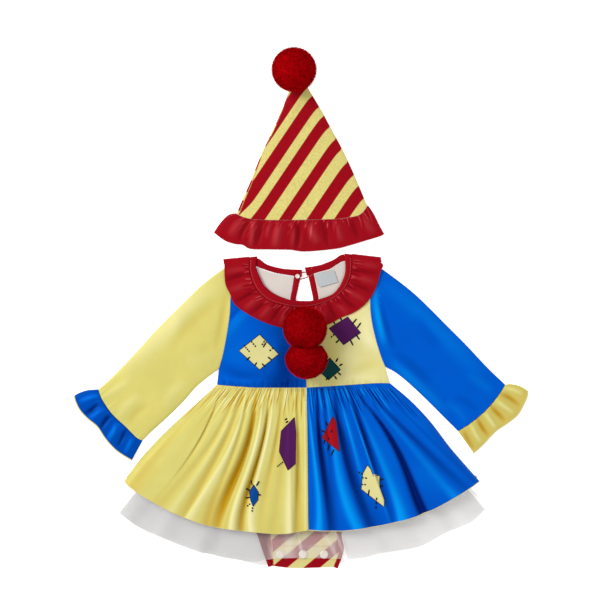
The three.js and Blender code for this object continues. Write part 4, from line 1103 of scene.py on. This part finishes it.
CUFF_SEAM_YELLOW = [
    [-277.6, -2.9], [-272.7, -16], [-259.3, -35.6], [-240.9, -52.9], [-226.7, -67.3], [-218.4, -71.3]]
CUFF_SEAM_BLUE = [[265.2, 3.2], [255.1, -12], [238.7, -30.7], [220.3, -46.7], [202, -59.1]]
SLEEVE_LEFT_FOLDS = [
    (-104, 138, -150, 112, -200, 62, -250, 10, 11, 1.3),
    (-112, 120, -150, 88, -196, 40, 9, -0.8),
    (-104, 132, -112, 90, -120, 48, 5, -1.1), (-122, 34, -140, 40, -160, 30, 9, 0.5),
    (-118, 56, -134, 50, -150, 34, 6, -0.4), (-170, 96, -176, 70, -196, 44, 8, 0.7),
    (-236, -50, -226, -34, -210, -24, 5, -0.9), (-268, -14, -252, -2, -234, 8, 5, 0.9),
    (-252, -40, -238, -24, -220, -10, 6, 0.9), (-186, -30, -178, -8, -160, 8, 7, 0.8),
]
SLEEVE_RIGHT_FOLDS = [
    (92, 140, 130, 118, 180, 72, 236, 14, 11, 1.2),
    (90, 118, 98, 84, 108, 46, 5, 1.4), (96, 120, 106, 86, 118, 50, 4, -1.4),
    (110, 32, 134, 16, 160, -8, 190, -38, 7, 1.4), (116, 48, 140, 30, 168, 4, 6, -1.1),
    (150, 100, 160, 74, 180, 50, 8, -0.7), (250, -8, 232, 6, 214, 16, 6, 0.9),
    (232, -34, 214, -20, 196, -12, 5, -0.9), (214, -48, 200, -30, 184, -20, 5, 0.8),
]
CUFF_LEFT_FOLDS = [
    (-277, -22, -286, -30, -296, -36, 3, -2.2), (-272, -10, -288, -14, -304, -22, 3.5, 2.2),
    (-262, -36, -270, -48, -276, -56, 3, -2.6), (-268, -28, -282, -38, -290, -46, 3, 2.0),
    (-250, -46, -258, -62, -266, -74, 3.4, 2.6), (-240, -54, -246, -68, -252, -80, 2.6, -2.0),
    (-230, -64, -236, -78, -242, -90, 3.2, 2.0)]
CUFF_RIGHT_FOLDS = [
    (262, 0, 276, -4, 290, -10, 3, 2.0), (256, -8, 270, -14, 286, -26, 2.6, -2.2),
    (250, -16, 264, -26, 278, -36, 3.2, 2.4), (244, -24, 256, -36, 266, -46, 2.6, -2.4),
    (236, -32, 246, -46, 254, -56, 3.2, 2.6), (226, -40, 236, -56, 244, -66, 2.6, -2.4),
    (218, -48, 226, -64, 234, -76, 3.2, 2.2), (208, -56, 216, -72, 224, -84, 2.8, -1.8)]


# Where the satin of the sleeves catches the light.
SLEEVE_GLINTS = {
    "yellow": [(-110, 150, -170, 98, -236, 24, 12, 0.12)],
    "blue": [(88, 146, 93, 110, 102, 56, 4.5, 0.75), (104, 44, 128, 22, 150, -6, 6, 0.15)],
}


def shade(table, strength, base=0.0, extra=()):
    """The tone of cloth with these folds: painted shade along the troughs and a painted highlight along the ridges,
    with the extra rows added, over the base.
    """
    return lambda x, y, u, v: base + creases(x, y, table) * strength + creases(x, y, extra)


def sleeves():
    plans = {
        "yellow": spanned(
            Edge(ARMHOLE_LEFT[::-1]), Edge(CUFF_SEAM_YELLOW),
            Edge([[-97.5, 163], [-111.3, 157.5], [-138.8, 136.8], [-165.3, 111.3], [-198, 78.7],
                  [-230.7, 42.9], [-261.3, 11.3], [-277.6, -2.9]]),
            Edge([[-117.5, 23.6], [-144.9, 2.1], [-165.3, -20.4], [-186, -40.8], [-206.3, -59.1],
                  [-218.4, -71.3]])),
        "blue": spanned(
            Edge(ARMHOLE_RIGHT[::-1]), Edge(CUFF_SEAM_BLUE),
            Edge([[87.5, 165], [100.9, 157.5], [122.4, 141.9], [142.8, 125.6], [163.2, 106.3], [185.6, 83.7],
                  [214, 55.2], [240.7, 26.7], [265.2, 3.2]]),
            Edge([[105.3, 26.7], [122.4, 16.4], [142.8, -0.9], [163.2, -20.4], [183.6, -40.8],
                  [202, -59.1]])),
    }
    for colour, table, seed in (("yellow", SLEEVE_LEFT_FOLDS, 71), ("blue", SLEEVE_RIGHT_FOLDS, 73)):
        def lift(x, y, u, v):
            tucks = gathers(u, 0, 1, 18, seed) * 1.3 * smooth((v - 0.9) / 0.1)
            return creases(x, y, table) * 1.25 + 0.6 * noise(x, y, 40, seed) + tucks
        # The sleeve's tone is painted shade and highlight along its folds, with its painted glints.
        cloth = tube("sleeve_" + colour, plans[colour], (120, 90), 6.4, [colour, "cream"],
                     lift, shade(table, 0.22, extra=SLEEVE_GLINTS[colour]))


def cuffs():
    around, rows = 160, 26
    plans = {
        "blue": spanned(
            Edge(CUFF_SEAM_YELLOW),
            Edge([[-309.9, -11.2], [-308.3, -18.3], [-302.1, -30.7], [-291.9, -41.7], [-278.7, -52.9],
                  [-267.5, -69.3], [-253.2, -84.7], [-232.8, -97.9]]),
            Edge([[-277.6, -2.9], [-291.9, -4], [-302.1, -7.1], [-309.9, -11.2]]),
            Edge([[-218.4, -71.3], [-232.8, -97.9]])),
        "yellow": spanned(
            Edge(CUFF_SEAM_BLUE),
            Edge([[295.5, -5.1], [292.8, -16.3], [281.6, -36.7], [265.2, -49.9], [252, -59.1],
                  [234.7, -77.3], [222.4, -88.7]]),
            Edge([[265.2, 3.2], [272.4, 4.1], [285.6, 1.1], [295.5, -5.1]]),
            Edge([[202, -59.1], [219.3, -83.6], [222.4, -88.7]])),
    }
    # base paints each whole cuff darker, painted shade, under the painted shade and highlight of its folds.
    for colour, table, seed, base in (("blue", CUFF_LEFT_FOLDS, 81, -0.4), ("yellow", CUFF_RIGHT_FOLDS, 83, -0.3)):
        def lift(x, y, u, v):
            pleats = gathers(u, 0, 1, 20, seed) * 1.6 * (1 - smooth(v * 1.5)) * smooth(v * 12)
            waves = gathers(u, 0, 1, 7, seed, 0.5) * v
            return creases(x, y, table) * 1.1 * smooth(v * 2 + 0.2) + pleats + waves
        name = "cuff_ruffle_" + colour
        cloth = tube(name, plans[colour], (around, rows), 6.2, [colour, "cream"], lift,
                     shade(table, 0.3, base))
        vertices = cloth.data.vertices
        hem = np.array([vertices[around * rows + k].co[:] for k in range(2, around // 2 - 1)])
        thread("hem_thread_" + name, hem / MM - [*DRESS, 0] + [0, 0, 0.2], 0.85, "hem")


# ---- Skirt, tulle and brief ----

def skirt_fronts():
    centre = Edge(SKIRT_CENTRE)
    for colour, plan, hem_radius in (
            ("yellow", spanned(Edge(WAIST_LEFT), Edge(SKIRT_HEM_LEFT), Edge(SKIRT_SIDE_LEFT), centre), 0.45),
            ("blue", spanned(Edge(WAIST_RIGHT), Edge(SKIRT_HEM_RIGHT), centre, Edge(SKIRT_SIDE_RIGHT)), 0.62)):
        cloth = panel("skirt_front_" + colour, plan, skirt_height, 0.9, (210, 110), [colour, "cream"],
                      crowd=1.25, tone=skirt_tone)
        hem = plan(np.linspace(0, 1, 260), np.ones(260))
        line = np.column_stack([hem + [0, -0.2], skirt_height(hem[:, 0], hem[:, 1]) - 0.4])
        thread("hem_thread_" + colour, line, hem_radius, "hem")


def skirt_backs():
    """They lie flat, and end a little inside the fronts' sides and hem."""
    inset, rise = 1.6, 4.5
    for colour, waist, hem, side, inward in (
            ("yellow", WAIST_LEFT, SKIRT_HEM_LEFT, SKIRT_SIDE_LEFT, 1),
            ("blue", WAIST_RIGHT, SKIRT_HEM_RIGHT, SKIRT_SIDE_RIGHT, -1)):
        centre = Edge(SKIRT_CENTRE[:-1] + [[2.7, -189.3 + rise]])
        flank = [[x + inset * inward, y] for x, y in side]
        flank[-1][1] += rise
        left, right = (Edge(flank), centre)[::inward]
        plan = spanned(Edge(waist), Edge([[x, y + rise] for x, y in hem]), left, right)
        cloth = panel("skirt_back_" + colour, plan, level(1.2), 1.2, (40, 30), ["cream", colour])


def brief_stripe(x, y):
    """Counts stripes 14 mm wide that lean at 40 degrees; the left leg's edge is red."""
    lean = math.radians(40)
    across = -x * math.sin(lean) + y * math.cos(lean)
    from_leg = x - np.interp(-y, (177, 189, 213, 238.5), (-78, -62, -53.5, -45.5))
    return np.where(from_leg < np.interp(-y, (190, 238), (13, 2)), 1168, (across + 1169) / 14)


def tulle():
    """One layer of net on either side, with raw edges."""
    waist = Edge([[-108, -9.5], [101, -9.5]])
    for name, shape, height, columns, rows in (
            ("tulle_front", TULLE_FRONT, tulle_front_height, 300, 80),
            ("tulle_back", TULLE_BACK, tulle_back_height, 150, 60)):
        plan = spanned(waist, Edge(*shape["end"]), Edge(shape["left"]), Edge(shape["right"]))
        xy = plan(*grid(columns, rows, 0.8))
        x, y = xy[..., 0], xy[..., 1]
        points = np.dstack([xy, height(x, y)]).reshape(-1, 3)
        faces = quads(rows + 1, columns + 1)[:, ::-1]
        cloth = piece(name, points, faces, "net", tone=tulle_tone(x, y).ravel())


def briefs():
    waist = Edge([[-103, -10.5], [97, -10.5]])
    side_left, side_right = [[-103, -10.5], [-106, -70], [-106, -131]], [[97, -10.5], [98, -70], [97, -131]]
    front = spanned(waist, Edge([[-45.5, -238.5], [-22, -241.3], [4.7, -241.3], [36, -240]]),
                    Edge(side_left, LEG_LEFT["inner"]), Edge(side_right, LEG_RIGHT["inner"]))
    back = spanned(waist, Edge([[-51.5, -238], [-5, -240], [42, -239.5]]),
                   Edge([[-103, -10.5], [-112.7, -130]], LEG_LEFT["outer"]),
                   Edge([[97, -10.5], [103, -130]], LEG_RIGHT["outer"]))
    for name, plan, height, size, below in (
            ("brief_front", front, brief_height, (90, 120), "brief_back"),
            ("brief_back", back, brief_back_height, (40, 60), "tulle_back")):
        cloth = panel(name, plan, height, 0.9, size, "brief", stripe=brief_stripe)
    leg_bindings(front)


def leg_bindings(front):
    """Rounded strips outwards from the leg edges of the front brief's plan."""
    lanes = np.arange(7)
    for name, side, outward in (("left", 0.0, -1), ("right", 1.0, 1)):
        line = front(np.full(80, side), np.linspace(0.5, 1, 80))
        way = unit(np.gradient(line, axis=0))
        across = np.column_stack([-way[:, 1], way[:, 0]]) * outward
        xy = line[:, None] + across[:, None] * np.linspace(0.5, 6.0, len(lanes))[:, None]
        z = brief_height(xy[..., 0], xy[..., 1]) - 0.1 + 0.8 * np.sin(np.pi * lanes / 6)
        low = np.broadcast_to(z.min(axis=1, keepdims=True) - 0.7, z.shape)
        cloth = shell("leg_binding_" + name, np.dstack([xy, z]), np.dstack([xy, low]), "red")


def snaps():
    """The three snaps, and the row of stitches above them across the flap."""
    y = -222.9
    profile = [(5.5, 0), (5.6, 0.5), (5.2, 1.0), (4.2, 1.25), (3.6, 1.6), (2.9, 1.65), (2.2, 1.2), (0.02, 1.1)]
    for name, x in (("left", -35.3), ("middle", -4.8), ("right", 23.3)):
        low = float(brief_height(np.array(x), np.array(y))) + 0.35
        lathe("snap_" + name, x, y, low, profile, "snap")
    bars("topstitch_flap", [(-50, -211.5, 39, -212.5, 44)], lambda x, y: brief_height(x, y) + 0.02, "stitch",
         width=0.6)


# ---- Pompoms ----

def meeting(x):
    """Where the two front poms press on each other: the upper one sags into the lower."""
    return 56 - 5 * np.clip(1 - (x / 18) ** 2, 0, 1)


def pompom(name, place, x, y, low, centre, radius, squash, seed, keep=None):
    """A dense core with a short pile of fine yarn ends. keep is the side of the meeting line that
    a front pom stays on: 1 above it, -1 below it, where the upper one also squeezes it narrower."""
    random = np.random.RandomState(seed)
    rows, columns, ends = 44, 80, 42000

    def shaped(p):
        q = p * [1, 1, squash] + [x, y, centre]
        q[:, 2] = np.maximum(q[:, 2], low)
        if keep == -1:
            q[:, 0] = x + (q[:, 0] - x) * (1 - 0.14 * smooth((q[:, 1] - y) / 16))
        if keep is not None:
            past = (meeting(q[:, 0]) + 0.3 * keep - q[:, 1]) * keep
            q[:, 1] += np.where(past > 0, past * 0.88 * keep, 0)
        return q
    polar, turn = np.meshgrid(np.linspace(0.02, math.pi - 0.02, rows),
                              np.arange(columns) / columns * 2 * math.pi, indexing="ij")
    ball = np.stack([np.sin(polar) * np.cos(turn), np.sin(polar) * np.sin(turn), np.cos(polar)], -1)
    core = shaped(ball.reshape(-1, 3) * radius * 0.965)
    faces = quads(rows, columns, ring=True)[:, ::-1].tolist()
    faces += [list(range(columns)), list(range(len(core) - columns, len(core)))[::-1]]

    way = unit(random.normal(size=(ends, 3)))
    bent = unit(way + random.normal(scale=0.035, size=(ends, 3)))
    side = unit(np.cross(way, random.normal(size=(ends, 3))))
    root = way * radius * 0.95
    tip = bent * radius * (0.985 + 0.085 * random.uniform(0, 1, ends)[:, None] ** 2)
    wide = 0.2 * random.uniform(0.7, 1.3, ends)[:, None]
    blades = shaped(np.stack([root - side * wide, root + side * wide, tip], 1).reshape(-1, 3))
    faces += (len(core) + np.arange(3 * ends).reshape(-1, 3)).tolist()
    points = np.vstack([core, blades])
    out = unit((points - [x, y, centre]) / [1, 1, squash])
    pom = piece(name, points, faces, "pom" if keep is None else "front_pom", place=place,
                sharp=180, normals=out)


def pompoms():
    pompom("hat_pompom", HAT, -8, 198.2, 0.2, 27.8, 29.3, 0.97, seed=5)
    pompom("pompom_upper", DRESS, -2, 78.7, 11, 34.5, 28.8, 0.84, seed=6, keep=1)
    pompom("pompom_lower", DRESS, 0, 40, 8.2, 30.5, 28.2, 0.84, seed=7, keep=-1)


# ---- Patches ----

# Each patch lies between two lines with square corners, left and right, on the piece that "on"
# names. Its bars are its stitches, as bars() takes them.
PATCHES = {
    "patch_bodice_yellow": {
        "stuff": "patch_yellow", "edge": "navy", "on": "bodice_front_blue",
        "left": [[-62.5, 70.1], [-90.1, 48.5]], "right": [[-37.1, 44], [-62.5, 23.2]],
        "bars": [(-73.8, 61.1, -66.7, 52.6, 3), (-83.6, 56.0, -75.2, 46.1, 4), (-56.0, 61.6, -60.3, 54.6, 2),
                 (-53.6, 60.0, -57.9, 53.0, 1), (-44.2, 52.6, -50.5, 47.0, 2), (-80.2, 35.7, -75.2, 40.2, 1),
                 (-69.0, 28.4, -66.2, 32.9, 1), (-54.9, 27.3, -59.4, 31.2, 1), (-46.5, 36.3, -51.5, 40.2, 1)]},
    "patch_bodice_purple": {
        "stuff": "purple", "edge": "navy", "on": "bodice_front_yellow",
        "left": [[54.9, 93.6], [30, 78.3]], "right": [[72.1, 72.4], [49.5, 56.3]],
        "bars": [(60.5, 83.6, 66.7, 90.9, 1), (67.3, 78.5, 72.3, 85.8, 1), (65.6, 70.6, 70.6, 63.3, 1),
                 (58.2, 63.0, 62.2, 55.4, 1), (36.9, 70.1, 31.8, 65.6, 2), (43.6, 63.0, 39.1, 58.8, 1),
                 (38.0, 84.1, 35.2, 88.6, 1), (47, 88.6, 44.7, 93.2, 1)]},
    "patch_bodice_green": {
        "stuff": "green", "edge": "bar", "on": "bodice_front_yellow",
        "left": [[31.1, 38.9], [17, 21]], "right": [[45.3, 23.2], [29.5, 9.6]],
        "bars": [(39.1, 33.5, 41.9, 38.5, 1), (43.6, 28.4, 48.1, 30.7, 1), (41.9, 19.4, 45.9, 16, 1),
                 (37.4, 14.9, 40.2, 10.4, 1), (29, 13.8, 26.2, 9.4, 1)]},
    "patch_skirt_purple": {
        "stuff": "purple", "edge": "maroon", "on": "skirt_front_yellow",
        "left": [[-33.7, -58.1], [-36.3, -85.1], [-24.7, -109.7]],
        "right": [[-16.1, -40], [-14, -60], [-14.7, -101.3]],
        "bars": [(-28.8, -43.3, -25.6, -41.6, 1), (-27.6, -47.0, -24.2, -45.0, 1), (-38.8, -105, -30.6, -98.4, 4)]},
    "patch_skirt_blue": {
        "stuff": "patch_blue", "edge": "navy", "on": "skirt_front_yellow",
        "left": [[-70, -129.0], [-76.1, -138.7], [-74.3, -149.3]],
        "right": [[-63.7, -139.4], [-64.5, -149.3], [-70.8, -157.8]],
        "bars": [(-73.7, -123.8, -71.7, -129.6, 1), (-62.8, -124.3, -66.6, -130.6, 1),
                 (-80.3, -134.3, -75.3, -137.3, 1), (-80.8, -147.5, -75.4, -146.0, 1),
                 (-78.9, -157.9, -73.6, -153.2, 2), (-72.3, -164.7, -71.4, -157.6, 2), (-60.5, -143, -65, -142, 1)]},
    "patch_skirt_red": {
        "stuff": "patch_red", "edge": "maroon", "on": "skirt_front_blue",
        "left": [[34.9, -38.4], [20.5, -67.1]], "right": [[39.3, -45.3], [43.9, -85.1]],
        "bars": [(25.1, -45.6, 28.5, -51.2, 1), (19.5, -56.8, 24.5, -59.6, 1), (27.9, -83.6, 30.7, -75.1, 1),
                 (32.7, -90.6, 36.4, -82.1, 1), (22.9, -75.1, 24.5, -69.5, 1), (33.5, -56.0, 33.0, -60.0, 1),
                 (29.0, -66.0, 29.4, -70.0, 1)]},
    "patch_skirt_yellow": {
        "stuff": "patch_yellow", "edge": "navy", "on": "skirt_front_blue",
        "left": [[80.9, -102.9], [74.4, -114.5], [72.7, -135.3]],
        "right": [[85.2, -108.4], [88.7, -117.3], [97.3, -117.3], [96.8, -131.4], [103.4, -149.3], [102.8, -158.7]],
        "bars": [(68.7, -112.1, 76, -116, 2), (73, -119.7, 82, -120.6, 2), (73, -128.6, 80, -129.2, 2),
                 (82, -144.1, 83.1, -135.6, 1), (92.1, -161, 93.2, -144.1, 3), (96.9, -123, 101.7, -121.6, 1),
                 (97.2, -131.4, 101.7, -131.0, 1)]},
}


def straight(points):
    """An edge with square corners."""
    return Edge(*[[a, b] for a, b in zip(points[:-1], points[1:])])


def patches():
    t, between = np.linspace(0, 1, 30), np.linspace(0.05, 0.95, 12)[:, None]
    for name, row in PATCHES.items():
        surface, lift = (skirt_height, 0.35) if "skirt" in name else (bodice_height, 0.25)
        _, place, colour = name.split("_")

        def over(x, y, u=None, v=None):
            return surface(x, y) + lift
        left, right = straight(row["left"]), straight(row["right"])
        cloth = panel(name, ruled(left, right), over, 0.3, (24, 24), row["stuff"])
        outline = np.vstack([left(t), mixf(left(1.0), right(1.0), between), right(t[::-1]),
                             mixf(right(0.0), left(0.0), between)])
        edging = np.column_stack([outline, over(outline[:, 0], outline[:, 1])])
        thread(f"edging_{place}_{colour}", edging, 0.45, row["edge"], closed=True)
        bars(f"bars_{place}_{colour}", row["bars"], over, "bar", width=2.1)


for build in (camera, studio, hat_cone, hat_ruffle, bodice, neck, size_label, closure, collar,
              sleeves, cuffs, skirt_fronts, skirt_backs, tulle, briefs, snaps, pompoms, patches):
    build()
